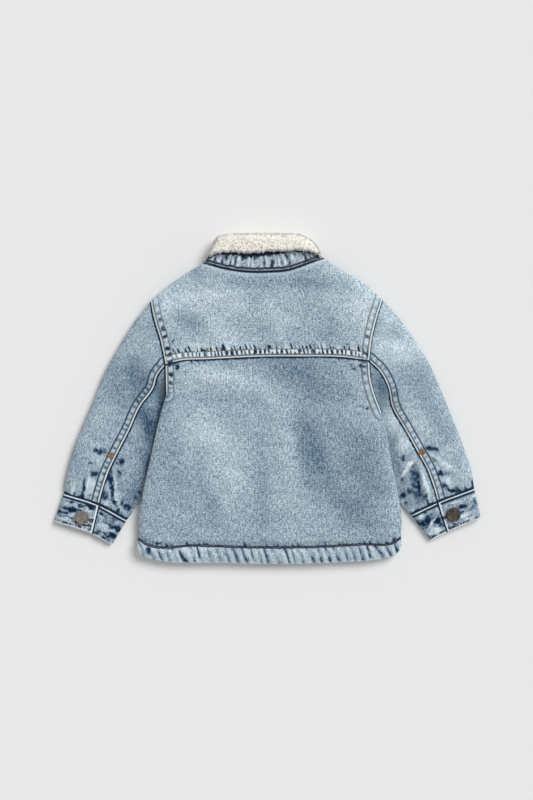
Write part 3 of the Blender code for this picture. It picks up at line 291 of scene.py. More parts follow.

# Pressed creases by the cuffs and their bartacks, then on the cuffs, the hem's corner and the panels, where
# the last two are painted shade
PRESSED = sides(Crease, (
    -190, -61.4, 12, 20, 3.2, 1,  -198, -59.5, 0, 10, 2.4, 0.8,  -198.4, -86.4, 10, 16, 3.4, 1,
    -203.7, -75, 40, 6, 2, 0.5,  -203, -87.5, 0, 4, 1.8, 0.7,  -212.2, -104, 82, 44, 1.8, 1,
    -213.8, -113, 80, 8, 2.4, 1,  -200.7, -99, 78, 30, 6.5, -0.62,  -194.5, -70.5, 60, 16, 5, -0.5,
    -206.5, -101, 80, 46, 2.4, -0.9,  -185, -79, 60, 9, 2, 0.75,  -188.7, -87.5, 64, 11, 2.6, 0.95,
    -222, -110, 10, 5, 1.6, 0.7,  -204, -112, 0, 5, 2, 0.4,  -181.6, -90, 80, 16, 1.8, 1,
    -178.5, -101, -82, 62, 3, 1,  -176, -118, -72, 24, 2.8, 0.95,  -174.8, -97, -80, 52, 1.9, -1,
    -180.4, -66.1, -19, 18, 3.4, 0.9,  -173.2, -114, -76, 26, 1.4, -0.95,  -171, -74.5, -48, 10, 1.3, -0.8,
    -167.6, -72.8, 84, 17, 3.4, 1,  -173.8, -75.6, 0, 5, 1.8, 0.75,  -170.8, -85.6, -80, 20, 3, 0.55,
    -186.4, -112, 78, 22, 3.6, 0.62,  -182, -116, 86, 8, 2.2, 0.8,  -161.5, -125.5, 30, 13, 4.6, 0.95,
    -166.7, -119, 60, 17, 2.6, 0.7,  -147.5, -108, 5, 13, 2.2, 0.75,  -152, -116, 40, 12, 3, 0.5,
    -190, -126, 0, 5, 1.8, 0.7,
), (
    188.2, -57.4, -10, 24, 3.2, 1,  195.5, -59.5, 0, 4, 1.6, 0.6,  191, -69, -39, 32, 1.9, 0.85,
    191.7, -71.6, -28, 10, 1.5, 0.7,  198, -75.5, -40, 9, 1.4, 0.5,  199.6, -86.7, -18, 18, 2.4, 1,
    207, -87, 0, 6, 1.8, 0.55,  204, -101, -30, 16, 2.4, 0.95,  213.5, -105.5, -24, 32, 3, 1,
    207, -98, -34, 32, 2, -0.9,  204, -76, -35, 84, 3.6, -0.7,  207, -96, -50, 20, 4.5, -0.6,
    189, -64.5, -40, 12, 2.6, -0.6,  203, -110, -20, 16, 4, -0.5,  181, -76, -62, 20, 1.7, 0.85,
    190, -92, -66, 15, 1.7, 0.8,  169.5, -93.5, -79, 104, 5.6, 0.62,  174, -99, -80, 70, 2.4, 0.9,
    159.3, -82.2, 55, 64, 2.6, -1,  182, -100, -76, 76, 2.8, -0.8,  156.5, -68.5, 30, 12, 3, 0.6,
    177.5, -61.9, 22, 18, 3.4, 0.9,  155.6, -93.4, 70, 12, 2.6, 0.6,  155.5, -112, -40, 13, 4.2, 1,
    165, -106, 80, 14, 3, 0.6,  183, -112, 84, 12, 2, 0.75,  153, -52, 50, 20, 5, -0.35,
    161, -122, -30, 12, 3, 0.5,
))
CUFF_PRESSED = sides(Crease, (
    -227, -127.8, -14, 36, 2.9, 1,  -234.5, -131.5, -12, 20, 2.2, 0.8,  -216.9, -124.3, 70, 6, 1.6, 0.85,
    -236.3, -144, -10, 6, 1.8, 0.9,  -224, -146.7, 60, 6, 2, 0.95,  -216, -150.5, 0, 3, 1.4, 0.7,
    -231, -136.5, -14, 18, 2, -0.55,  -222, -121.5, -16, 20, 1.6, -0.6,  -241, -143, 0, 5, 1.6, 0.5,
    -207, -124, -14, 12, 1.6, -0.5,  -179, -147.2, -18, 20, 2.3, 1,  -171.5, -150.5, -30, 17, 3, 1,
    -191.3, -132.6, -24, 9, 2.2, 0.7,  -194, -141.5, -16, 8, 1.8, 0.65,  -186, -144, -18, 12, 1.4, 0.5,
    -194.5, -153, -20, 10, 2.4, 0.75,  -182, -139, -22, 60, 6, 0.45,  -222, -147.5, -14, 70, 3.2, -0.6,
    -178.5, -158.2, -20, 30, 3.8, 1,  -185.5, -163.4, -24, 20, 2.6, 1,  -183, -152, -20, 22, 1.4, -0.5,
    -174, -154, -20, 12, 1.2, 0.5,  -190, -137, -20, 16, 1.6, -0.45,  -169, -143, -30, 9, 1.6, -0.4,
), (
    184.7, -141, 32, 32, 4.6, 1,  173, -145.6, -60, 15, 3.8, 1,  196.4, -140.4, 30, 22, 4.4, 1,
    191.2, -142.6, 58, 26, 1.4, -1,  200.6, -146.5, 70, 16, 2.8, 1,  224.3, -124.4, 14, 24, 2.5, 1,
    237, -124.6, 40, 18, 3.2, 0.75,  240.5, -118.5, -60, 13, 2.6, 0.7,  228.7, -141, 8, 8, 1.6, 0.95,
    216.8, -146.4, -26, 8, 1.9, 0.95,  184, -156.5, 22, 12, 1.6, 0.7,  182, -131.2, 24, 9, 1.5, 0.65,
    233, -131, 16, 18, 2, -0.6,  222, -118.5, 14, 26, 1.8, -0.5,  243, -137, 80, 8, 1.4, 0.8,
    192, -153, 26, 40, 4.6, -0.8,  178, -137, 28, 14, 1.8, -0.5,  210, -123, 20, 8, 1.2, 0.4,
    196, -157, 22, 12, 1.4, 0.55,  203.5, -138.5, 80, 10, 1.3, 0.6,
))
BODY_PRESSED = rows(Crease, (
    -136.6, -174, 86, 17, 2, 1,  -131, -172, 84, 12, 1.4, -0.6,  -140.5, -163, 0, 5, 1, 0.7,
    -124, -165.5, 4, 22, 1.5, 0.75,  -103.5, 35.5, 4, 9, 2.2, 0.95,  -96, 37, 0, 5, 1.4, 0.5,
    107.5, 37, 4, 11, 1.8, 0.95,  100, 33.5, -20, 9, 1.6, 0.8,  94.5, 38.5, -30, 7, 1.2, 0.6,
    -107.8, 66, 74, 16, 1.2, 0.55,  -109, 39, 8, 18, 2.4, 1,  -101, 50, 0, 7, 1.6, 0.6,
    92, 62, -30, 6, 1.6, 0.7,  88, 58, -60, 6, 1.2, 0.5,  108, -9, -16, 18, 1.8, 0.5,
    # The last two rows, at -66, 158 and -80, 143, are painted shade on the yoke's left corner by the collar's
    # end.
    116, -10.5, -30, 7, 1.8, 0.7,  103, -17, -10, 12, 1.3, 0.4,  -66, 158, -30, 9, 3, 0.25,
    -80, 143, -28, 40, 7, 0.22,
))


def ease(t: Array) -> Array:
    """A smooth step from 0 to 1 as t goes from 0 to 1: three squares of t less two cubes."""
    t = np.clip(t, 0.0, 1.0)
    return t * t * (3.0 - 2.0 * t)


def fade(t: Array) -> Array:
    """A smooth step from 1 to 0 as t goes from 0 to 1."""
    return 1.0 - ease(t)


def roll(t: Array) -> Array:
    """A quarter turn, which leaves 0 upright and reaches 1 level: the height of a circle at t."""
    return np.sqrt(1.0 - (1.0 - np.clip(t, 0.0, 1.0)) ** 2)


def bell(t: Array) -> Array:
    """A bell that is 1 at 0 and falls off as the exponential of minus t squared."""
    return np.exp(-np.square(t))


def unit(ways: Array) -> Array:
    """Directions made one long."""
    return ways / np.linalg.norm(ways, axis=-1, keepdims=True)


def around(count: int) -> Array:
    """The angles of points set evenly round a circle."""
    return np.linspace(0.0, 2.0 * np.pi, count, endpoint=False)


def curve(marks: list[Mark] | Array, samples: int = 8) -> Array:
    """A smooth line through plan marks.

    Between two marks it is the cubic that has their places and slopes. The slope at a mark is the
    mean of the two chords beside it, each weighted by the length of the other.

    Args:
        marks: The points that the line passes through.
        samples: How many points stand for each stretch.

    Returns:
        The line's points, one row each.
    """
    p = np.array(marks, float)
    step = np.diff(run(p))[:, None]
    chord = np.diff(p, axis=0) / step
    slope = np.vstack([chord[:1], chord, chord[-1:]])
    before = np.concatenate([step[:1], step])
    after = np.concatenate([step, step[-1:]])
    tangent = (slope[:-1] * after + slope[1:] * before) / (before + after)
    u = np.linspace(0.0, 1.0, samples, endpoint=False)[:, None, None]
    line = (
        (1 + 2 * u) * (1 - u) ** 2 * p[:-1]
        + u * (1 - u) ** 2 * step * tangent[:-1]
        + u * u * (3 - 2 * u) * p[1:]
        + u * u * (u - 1) * step * tangent[1:]
    )
    return np.vstack([line.transpose(1, 0, 2).reshape(-1, 2), p[-1:]])


def joined(*lines: Array) -> Array:
    """Lines that follow each other, made one."""
    return np.vstack([lines[0], *[line[1:] for line in lines[1:]]])


def run(line: Array) -> Array:
    """The length along a line at each of its points."""
    return np.concatenate([[0.0], np.cumsum(np.linalg.norm(np.diff(line, axis=0), axis=1))])


def spaced(line: Array, shares: Array) -> Array:
    """The points at these shares of a line's length.

    Args:
        line: The line's points.
        shares: Shares of its length, from 0 to 1.

    Returns:
        The points there.
    """
    length = run(line)
    at = np.asarray(shares) * length[-1]
    return np.stack([np.interp(at, length, line[:, k]) for k in range(line.shape[1])], axis=-1)


def coons(top: Array, bottom: Array, left: Array, right: Array, across: Array, down: Array) -> Array:
    """A plan patch between four edges: the two ruled patches added, less the one of the corners.

    Args:
        top: The edge of the first row, from left to right.
        bottom: The edge of the last row, from left to right.
        left: The edge of the first column, from top to bottom.
        right: The edge of the last column, from top to bottom.
        across: The share of the width at which each column lies.
        down: The share of the height at which each row lies.

    Returns:
        Plan points in rows and columns.
    """
    t, b = spaced(top, across)[None], spaced(bottom, across)[None]
    l, r = spaced(left, down)[:, None], spaced(right, down)[:, None]
    u, v = np.asarray(across)[None, :, None], np.asarray(down)[:, None, None]
    ruled = (1 - v) * t + v * b + (1 - u) * l + u * r
    corners = (1 - v) * ((1 - u) * top[0] + u * top[-1]) + v * ((1 - u) * bottom[0] + u * bottom[-1])
    return ruled - corners


def beside(points: Array, line: Array) -> tuple[Array, Array]:
    """Where plan points lie beside a line.

    Args:
        points: Plan points.
        line: The line's points.

    Returns:
        The length along the line at its nearest place, and the distance from it, which is above
        zero to the left of the line's direction.
    """
    start, step = line[:-1], np.diff(line, axis=0)
    length = np.linalg.norm(step, axis=1)
    to = points[..., None, :] - start
    t = np.clip((to * step).sum(-1) / length**2, 0.0, 1.0)
    off = to - t[..., None] * step
    far = np.linalg.norm(off, axis=-1)
    k = far.argmin(-1)[..., None]

    def nearest(values: Array) -> Array:
        """The value that belongs to each point's nearest stretch."""
        return np.take_along_axis(values, k, -1)[..., 0]

    cross = nearest(step[:, 0] * to[..., 1] - step[:, 1] * to[..., 0])
    along = run(line)[k[..., 0]] + nearest(t * length)
    return along, np.where(cross < 0.0, -1.0, 1.0) * nearest(far)


def distance(points: Array, line: Array) -> Array:
    """How far each plan point is from a line."""
    return np.abs(beside(points, line)[1])


def folds(points: Array, table: list[Fold]) -> Array:
    """The sum of a table's soft forms: a bell across each one's width, faded out at its ends.

    Args:
        points: Plan points.
        table: The table of forms.

    Returns:
        The sum at each of them.
    """
    total = np.zeros(points.shape[:-1])
    for x, y, angle, length, width, height in table:
        turn = math.radians(angle)
        dx, dy = points[..., 0] - x, points[..., 1] - y
        along = (dx * math.cos(turn) + dy * math.sin(turn)) / (0.5 * length)
        across = (dy * math.cos(turn) - dx * math.sin(turn)) / width
        total += height * bell(across) * fade(np.abs(along))
    return total


def graded(length: float, pitch: float, near: tuple, far: tuple, step: int = INNER_STEP) -> Array:
    """Shares of a length: set distances from both ends, and even steps of about the pitch between.

    Args:
        length: The whole length.
        pitch: The distance between two shares in the middle.
        near: Distances from the start, the first of them 0.
        far: Distances from the end, the first of them 0.
        step: The count of steps is made a multiple of this.

    Returns:
        The shares, from 0 to 1.
    """
    even = max(2, round((length - near[-1] - far[-1]) / pitch))
    even += -(even + len(near) + len(far) - 2) % step
    middle = np.linspace(near[-1], length - far[-1], even + 1)[1:-1]
    return np.concatenate([near, middle, length - np.array(far)[::-1]]) / length


@dataclass(frozen=True)
class Noise:
    """Smooth noise from -1 to 1: a lattice of seeded random values, eased between its points."""

    seed: int
    cells: int = 256

    def line(self, x: Array) -> Array:
        """Noise along a line, with one lattice cell for each unit of x.

        Args:
            x: Places along the line.

        Returns:
            The noise at each of them.
        """
        values = np.random.default_rng(self.seed).uniform(-1.0, 1.0, self.cells)
        cell = np.floor(x).astype(int)
        t = ease(x - cell)
        return values[cell % self.cells] * (1.0 - t) + values[(cell + 1) % self.cells] * t

    def plane(self, x: Array, y: Array) -> Array:
        """Noise over a plane, with one square lattice cell for each unit of x and y.

        Args:
            x: Places in one direction.
            y: Places in the other.

        Returns:
            The noise at each of them.
        """
        values = np.random.default_rng(self.seed).uniform(-1.0, 1.0, (self.cells, self.cells))
        i, j = np.floor(x).astype(int), np.floor(y).astype(int)
        s, t = ease(x - i), ease(y - j)
        i, j = i % self.cells, j % self.cells
        k, m = (i + 1) % self.cells, (j + 1) % self.cells
        low = values[i, j] * (1.0 - s) + values[k, j] * s
        high = values[i, m] * (1.0 - s) + values[k, m] * s
        return low * (1.0 - t) + high * t

    def cloud(self, points: Array, size: float, layers: int = 3) -> Array:
        """Layers of plane noise, each half the size and six tenths the strength of the last.

        Args:
            points: Plan points.
            size: The size of the first layer's cells, in millimetres.
            layers: How many layers it has.

        Returns:
            The noise at each of them.
        """
        total = np.zeros(points.shape[:-1])
        strength, whole = 1.0, 0.0
        for k in range(layers):
            layer = Noise(self.seed + k)
            total += strength * layer.plane(points[..., 0] / size, points[..., 1] / size)
            whole += strength
            size, strength = 0.5 * size, 0.6 * strength
        return total / whole


@dataclass
class Marks:
    """What the outer face of a cloth piece shows beside its form, for each of its points: the wear also holds
    a painted highlight, the indigo painted shadow and shade, the tone partly painted light and shade, and on
    the pile the wear holds its height, which sets the painted shade of its hollows.
    """

    worn: Array
    indigo: Array
    tone: Array

    @classmethod
    def plain(cls, shape: tuple) -> "Marks":
        """Marks of cloth with nothing on it."""
        return cls(np.zeros(shape), np.zeros(shape), np.zeros(shape))

    @classmethod
    def joined(cls, parts: list["Marks"], axis: int) -> "Marks":
        """The marks of grids that follow each other."""
        rows = [(part.worn, part.indigo, part.tone) for part in parts]
        return cls(*[np.concatenate(arrays, axis=axis) for arrays in zip(*rows)])

    def wear(self, amount: Array) -> None:
        """Wears the cloth at least this much, and takes as much of the indigo there away; one caller puts a
        painted highlight in this way.
        """
        self.worn = np.maximum(self.worn, amount)
        self.indigo = self.indigo * (1.0 - np.clip(amount, 0.0, 1.0))

    def dye_and_shade(self, amount: Array) -> None:
        """Leaves at least this much indigo, and takes as much of the wear there away; some callers put
        painted shadow and shade in this way.
        """
        self.indigo = np.maximum(self.indigo, amount)
        self.worn = self.worn * (1.0 - np.clip(amount, 0.0, 1.0))

    def press(self, points: Array, table: list[Crease], seed: int) -> None:
        """Dyes the valleys and wears the ridges of pressed creases, each with a ragged edge.

        Args:
            points: Plan points.
            table: The creases.
            seed: The seed of its noise.
        """
        shifts = [3.4 * Noise(k).cloud(points, 5.4, 4) for k in (seed, seed + 9)]
        ragged = points + np.stack(shifts, axis=-1)
        broken = 1.05 + 0.9 * Noise(seed + 5).cloud(points, 3.0)
        for crease in table:
            share, mark = (1.05, self.dye_and_shade) if crease.strength > 0.0 else (0.9, self.wear)
            amount = broken * folds(ragged, [crease._replace(strength=share * abs(crease.strength))])
            mark(np.clip(amount, 0.0, 1.0))

    def colours(self) -> Array:
        """The marks as red, green, blue and alpha, with the tone's zero at one half."""
        return np.stack([self.worn, self.indigo, 0.5 + 0.5 * self.tone, np.ones_like(self.tone)], -1)


def pressed_relief(points: Array, table: list[Crease], depth: float) -> Array:
    """The form of pressed creases: valleys go down and ridges up by this depth times their own."""
    return -depth * folds(points, table)


# The lines between the marks of the plan
OUTLINES = {
    "shoulder": SHOULDER, "above": ARMHOLE_ABOVE, "below": ARMHOLE_BELOW, "side": BODY_SIDE,
    "wing_fold": WING_FOLD, "wing_edge": WING_EDGE, "collar_end": COLLAR_END,
}
EDGE = {side: {name: curve(table[side]) for name, table in OUTLINES.items()} for side in Side}
for side in Side:
    for k, name in enumerate(("outer", "seam", "inner")):
        EDGE[side][name] = curve(np.array(SLEEVE[side])[:, 2 * k : 2 * k + 2])
YOKE_LINE = curve(YOKE_SEAM)
HEM_LINE = curve(HEM_SEAM)
HEM_OUTLINE = curve(HEM_EDGE)
NECK_LINE = curve(NECKLINE)
FOLD_LINE = curve(COLLAR_FOLD)
FALL_LINE = curve(COLLAR_EDGE)
FREE_EDGES = {side: joined(EDGE[side]["shoulder"], EDGE[side]["outer"]) for side in Side}
ARMHOLE = {side: joined(EDGE[side]["above"], EDGE[side]["below"]) for side in Side}
CUFF_SEAM = {side: curve(np.reshape(SLEEVE[side][-1], (3, 2))) for side in Side}
CUFF_MOUTH = {side: curve(np.reshape(CUFF_END[side], (3, 2))) for side in Side}


@dataclass(frozen=True)
class LaidBody:
    """The laid body: the heights of its back, of the middle where its layers meet, and of its front."""

    height: float = 15.3
    middle_height: float = 6.8
    inside_gap: float = 0.9
    inside_reach: float = 12.0
    edge_wall: float = 1.6
    top_roll: float = 15.0
    under_roll: float = 9.0
    under_edge: float = 3.0
    carry_share: float = 0.35
    middle_carry: float = 0.75
    side_rise: float = 5.8
    side_reach: float = 60.0
    rise_above_armpit: float = 20.0
    rise_growth: float = 40.0
    rise_end_y: float = -160.0
    rise_fade: float = 60.0
    wing_wall: float = 4.0
    wing_margin: float = 12.0
    wing_fade: float = 30.0
    neck_start_y: float = 50.0
    neck_length: float = 90.0
    hem_pinch: float = 2.4
    hem_pinch_reach: float = 7.0
    neck_pinch: float = 1.6
    neck_pinch_reach: float = 10.0

    def side_lift(self, points: Array) -> Array:
        """How high the tucked sleeves carry the body's sides: eased out from the side seams.

        Args:
            points: Plan points.

        Returns:
            The height at each of them.
        """
        carried = np.zeros(points.shape[:-1])
        y = points[..., 1]
        for side in Side:
            above = BODY_SIDE[side][0].y + self.rise_above_armpit
            along = ease((above - y) / self.rise_growth) * ease((y - self.rise_end_y) / self.rise_fade)
            away = distance(points, EDGE[side]["side"]) / self.side_reach
            carried = np.maximum(carried, self.side_rise * along * fade(away))
        return carried

    def wing_lift(self, points: Array) -> Array:
        """How high the collar's wings carry the fronts: a wing's wall, eased out past its margin.

        Args:
            points: Plan points.

        Returns:
            The height at each of them.
        """
        carried = np.zeros(points.shape[:-1])
        shares = np.linspace(0.0, 1.0, 25)
        for side in Side:
            fold = spaced(EDGE[side]["wing_fold"], shares)
            edge = spaced(EDGE[side]["wing_edge"], shares)
            half = 0.5 * np.linalg.norm(fold[-1] - edge[-1])
            away = distance(points, 0.5 * (fold + edge)) - half - self.wing_margin
            carried = np.maximum(carried, (self.wing_wall + SEAM_GAP) * fade(away / self.wing_fade))
        return carried

    def neck_lift(self, points: Array) -> Array:
        """How high the wings carry the back: one long slope up to the neck."""
        return (self.wing_wall + SEAM_GAP) * ease((points[..., 1] - self.neck_start_y) / self.neck_length)

    def edge(self, points: Array) -> Array:
        """Distance from the shoulders, the sleeves' free edges and the body's sides."""
        lines = [FREE_EDGES[side] for side in Side] + [EDGE[side]["side"] for side in Side]
        return np.minimum.reduce([distance(points, line) for line in lines])

    def middle(self, points: Array) -> Array:
        """The height at which the back and the front lie on each other."""
        return self.middle_height + self.middle_carry * self.side_lift(points) + self.neck_lift(points)

    def half_gap(self, points: Array) -> Array:
        """Half the gap between the back and the front: a seam's at the edges, and looser inside."""
        open_ = ease(self.edge(points) / self.inside_reach)
        return 0.5 * (SEAM_GAP + (self.inside_gap - SEAM_GAP) * open_)

    def back_inside(self, points: Array) -> Array:
        """The inner surface of the back."""
        return self.middle(points) + self.half_gap(points)

    def front_inside(self, points: Array) -> Array:
        """The inner surface of the front."""
        return self.middle(points) - self.half_gap(points)

    def top(self, points: Array) -> Array:
        """The outer surface of the back: full height with its folds, rolled down to the edges.

        Args:
            points: Plan points.

        Returns:
            The height at each of them.
        """
        hem = self.hem_pinch * fade(distance(points, HEM_LINE) / self.hem_pinch_reach)
        neck = self.neck_pinch * fade(distance(points, NECK_LINE) / self.neck_pinch_reach)
        side_lift, neck_lift, away = self.side_lift(points), self.neck_lift(points), self.edge(points)
        full = self.height + self.carry_share * (side_lift + neck_lift) - hem - neck
        full = full + folds(points, BODY_FOLDS) + folds(points, BODY_CREASES)
        gap = SEAM_GAP + (self.inside_gap - SEAM_GAP) * ease(away / self.inside_reach)
        edge = self.middle_height + self.middle_carry * side_lift + neck_lift + 0.5 * gap + self.edge_wall
        return edge + (full - edge) * roll(away / self.top_roll)

    def under(self, points: Array) -> Array:
        """The outer surface of the front, which rests on the floor, the sleeves and the wings.

        Args:
            points: Plan points.

        Returns:
            The height at each of them.
        """
        low = np.maximum(self.side_lift(points), self.wing_lift(points))
        edge = np.minimum(self.front_inside(points) - self.edge_wall, low + self.under_edge)
        return low + (edge - low) * (1.0 - roll(self.edge(points) / self.under_roll))


@dataclass(frozen=True)
class LaidSleeve:
    """A laid sleeve: the heights of its upper layer, its middle and its lower layer."""

    side: Side
    height: float = 11.8
    edge_low: float = 3.6
    edge_thick: float = 3.2
    edge_roll: float = 12.0
    tuck_low: float = 0.5
    tuck_thick: float = 2.6
    tuck_reach: float = 34.0
    blend: float = 50.0
    armhole_height: float = 14.0
    under_roll: float = 9.0
    cuff_low: float = 2.2
    cuff_wall: float = 2.0
    cuff_roll: float = 8.0
    cuff_pinch: float = 3.0
    cuff_reach: float = 18.0

    def profile(self, points: Array) -> tuple[Array, Array, Array, Array]:
        """The section of the sleeve over plan points.

        Args:
            points: Plan points.

        Returns:
            The share of full height, the low and high sides of the nearer edge, and the distance
            from that edge.
        """
        out = distance(points, FREE_EDGES[self.side])
        tuck = distance(points, EDGE[self.side]["inner"])
        inner = ease(0.5 + (out - tuck) / self.tuck_reach)
        low = self.edge_low + (self.tuck_low - self.edge_low) * inner
        thick = self.edge_thick + (self.tuck_thick - self.edge_thick) * inner
        at_cuff = self.near_cuff(points)
        low = low + (self.cuff_low - low) * at_cuff
        thick = thick + (self.cuff_wall - thick) * at_cuff
        reach = self.tuck_reach + (self.cuff_roll - self.tuck_reach) * at_cuff
        rise = ease(tuck / reach) + (roll(tuck / reach) - ease(tuck / reach)) * at_cuff
        return roll(out / self.edge_roll) * rise, low, low + thick, np.minimum(out, tuck)

    def near_cuff(self, points: Array) -> Array:
        """1 at the cuff's seam, eased to 0 at the end of its pinch."""
        return fade(distance(points, CUFF_SEAM[self.side]) / self.cuff_reach)

    def top(self, points: Array) -> Array:
        """The outer surface of the upper layer: full height with its folds, rolled to its edges.

        Args:
            points: Plan points.

        Returns:
            The height at each of them.
        """
        share, _, edge, _ = self.profile(points)
        near_body = fade(distance(points, ARMHOLE[self.side]) / self.blend)
        full = self.height + (self.armhole_height - self.height) * near_body
        full = full - self.cuff_pinch * self.near_cuff(points)
        full = full + folds(points, SLEEVE_FOLDS[self.side]) + folds(points, SLEEVE_CREASES[self.side])
        return edge + (full - edge) * share

    def under(self, points: Array) -> Array:
        """The outer surface of the lower layer, flat on the floor but for its rolled edges."""
        _, low, _, near = self.profile(points)
        return low * (1.0 - roll(near / self.under_roll))

    def middle(self, points: Array) -> Array:
        """The height at which the two layers lie on each other.

        Args:
            points: Plan points.

        Returns:
            The height at each of them.
        """
        share, low, edge, _ = self.profile(points)
        between = 0.5 * (edge + low)
        return between + (0.5 * self.height - between) * share


@dataclass(frozen=True)
class FelledSeam:
    """The folded upper edge of a felled seam: its step, its two rows of stitches and its puckers."""

    seed: int
    width: float = 7.5
    step: float = 1.2
    rise: float = 0.8
    near_row: float = 2.4
    far_row: float = 8.8
    pitch: float = 4.6
    pucker: float = 0.35
    dyed: float = 1.0
    worn: float = 0.8
    edge_worn: float = 1.0
    edge_width: float = 1.2
    groove: float = 0.45
    hatch: float = 0.0
    hatch_reach: float = 7.0
    strong: tuple = (1.0, 2000.0)

    def valleys(self, along: Array, across: Array) -> Array:
        """Puckers, 0 to 1: a cosine of the pitch whose phase wanders, plus noise that varies across too.

        Args:
            along: Lengths along the seam's line.
            across: Distances from that line.

        Returns:
            How deep in a pucker each place is.
        """
        skewed = along + 0.12 * across
        phase = skewed / self.pitch + 0.4 * Noise(self.seed).line(skewed / (1.6 * self.pitch))
        noise = 0.62 * Noise(self.seed + 1).plane(skewed / (0.4 * self.pitch), across / 3.2)
        wave = 0.55 * np.cos(2.0 * np.pi * phase) + noise
        strong = ease(along / self.strong[0]) * fade((along - self.strong[1]) / 25.0)
        return ease((wave + 0.12) / 0.55) * (0.3 + 0.7 * strong)

    def between(self, across: Array) -> Array:
        """1 between the two rows, eased to 0 at each of them."""
        return ease((across - self.near_row) / 1.3) * ease((self.far_row - across) / 1.3)

    def step_up(self, across: Array) -> Array:
        """The rise of the doubled cloth within the seam's width."""
        return self.rise * fade((across - self.width) / self.step)

    def carve(self, along: Array, across: Array) -> Array:
        """What is taken off the seam's top: its rolled edge, the rows drawn in, and the puckers.

        Args:
            along: Lengths along the seam's line.
            across: Distances from that line.

        Returns:
            The change of height at each place.
        """
        edge = 0.75 * (1.0 - roll((across + 0.1) / 1.1))
        rows = bell((across - self.near_row) / 0.7) + bell((across - self.far_row) / 0.7)
        puckers = self.valleys(along, across) * self.between(across)
        return -edge - 0.16 * rows - self.pucker * puckers

    def mark(self, marks: Marks, along: Array, across: Array) -> None:
        """Marks the folded edge, the puckers between the rows, and the hatching past the far row.

        Args:
            marks: The marks of the cloth, which it changes.
            along: Lengths along the seam's line.
            across: Distances from that line.
        """
        valley = self.valleys(along, across)
        broken = 0.8 + 0.4 * Noise(self.seed + 6).plane(along / 1.5, across / 1.8)
        marks.wear(self.worn * ease(0.9 - 1.3 * valley) * self.between(across))
        marks.dye_and_shade(self.dyed * broken * valley * self.between(across))
        rows = bell((across - self.near_row) / 0.9) + bell((across - self.far_row) / 0.9)
        marks.dye_and_shade(self.groove * rows)
        if self.hatch > 0.0:
            long = (0.5 + 0.5 * Noise(self.seed + 5).line(along / 1.9)) ** 1.4
            reach = self.hatch_reach * (0.15 + 0.85 * long)
            past = across - self.far_row
            lines = Noise(self.seed + 3).line((along + 0.3 * past) / 1.4)
            dim = ease((past + 0.6) / 0.9) * fade((past - 0.5 * reach) / (0.5 * reach))
            marks.wear(0.7 * self.hatch * dim * ease((-lines - 0.15) / 0.4))
            marks.dye_and_shade(self.hatch * dim * ease((lines - 0.12) / 0.35))
        rub = 0.9 + 0.1 * Noise(self.seed + 2).line(along / 3.1)
        marks.wear(self.edge_worn * rub * ease((self.edge_width + 0.4 - across) / 0.8))


@dataclass(frozen=True)
class TuckedEdge:
    """The panel under a felled seam, right beside the folded edge: drawn down, with a dark line that is
    partly unfaded indigo and partly painted shadow of the edge, and, where it is set, painted shade round it.
    """

    seed: int
    dark: float = 0.9
    width: float = 2.0
    hatch: float = 0.0
    hatch_reach: float = 7.0
    shade: float = 0.0
    shade_reach: float = 8.0

    def relief(self, across: Array) -> Array:
        """How far the panel sinks beside the edge: a bell of the edge's width."""
        return -0.55 * bell(across / (1.2 * self.width))

    def mark(self, marks: Marks, along: Array, across: Array) -> None:
        """Marks the dark line under the edge, partly painted shadow, the hatching beyond it, and the painted
        shade round it.

        Args:
            marks: The marks of the cloth, which it changes.
            along: Lengths along the seam's line.
            across: Distances from that line.
        """
        # Painted shade round the edge: the tone darkens.
        marks.tone = marks.tone - self.shade * bell(across / self.shade_reach)
        if self.hatch > 0.0:
            reach = self.hatch_reach * (0.55 + 0.45 * Noise(self.seed + 1).line(along / 6.1))
            lines = Noise(self.seed).line((along - 0.3 * across) / 1.5)
            dim = fade(across / reach)
            marks.wear(0.6 * self.hatch * dim * ease((-lines - 0.3) / 0.4))
            marks.dye_and_shade(self.hatch * dim * ease((lines - 0.25) / 0.4))
        # The dark line under the edge, partly unfaded indigo and partly painted shadow.
        ragged = self.width * (1.0 + 0.3 * Noise(self.seed + 2).line(along / 2.3))
        marks.dye_and_shade(self.dark * fade((across - 0.45 * ragged) / (0.8 * ragged)))


def quads(rows: int, columns: int, first: int = 0, closed: bool = False) -> Array:
    """The faces of a grid whose points are numbered row by row.

    Args:
        rows: The count of rows.
        columns: The count of columns.
        first: The number of the grid's first point.
        closed: Whether the last column joins the first.

    Returns:
        Four point numbers for each face.
    """
    across = columns if closed else columns - 1
    i, j = np.meshgrid(np.arange(rows - 1), np.arange(across), indexing="ij")
    start, following = i * columns, (j + 1) % columns
    corners = [start + j, start + following, start + columns + following, start + columns + j]
    return np.stack(corners, axis=-1).reshape(-1, 4) + first


def copies(faces: list[Array], count: int, size: int) -> list[Array]:
    """The faces of copies of one form, each of which has this many points."""
    first = np.arange(count)[:, None, None] * size
    return [(first + face[None]).reshape(-1, face.shape[1]) for face in faces]


def rim(outer: Array, inner: Array) -> Array:
    """Faces between one side of an outer grid and that of an inner grid with fewer points.

    Args:
        outer: The numbers of the outer grid's points.
        inner: The numbers of the inner grid's points.

    Returns:
        The point numbers of each face.
    """
    k = np.arange(len(inner) - 1)
    fine = outer[k[:, None] * INNER_STEP + np.arange(INNER_STEP + 1)]
    return np.concatenate([fine, inner[k + 1][:, None], inner[k][:, None]], axis=1)


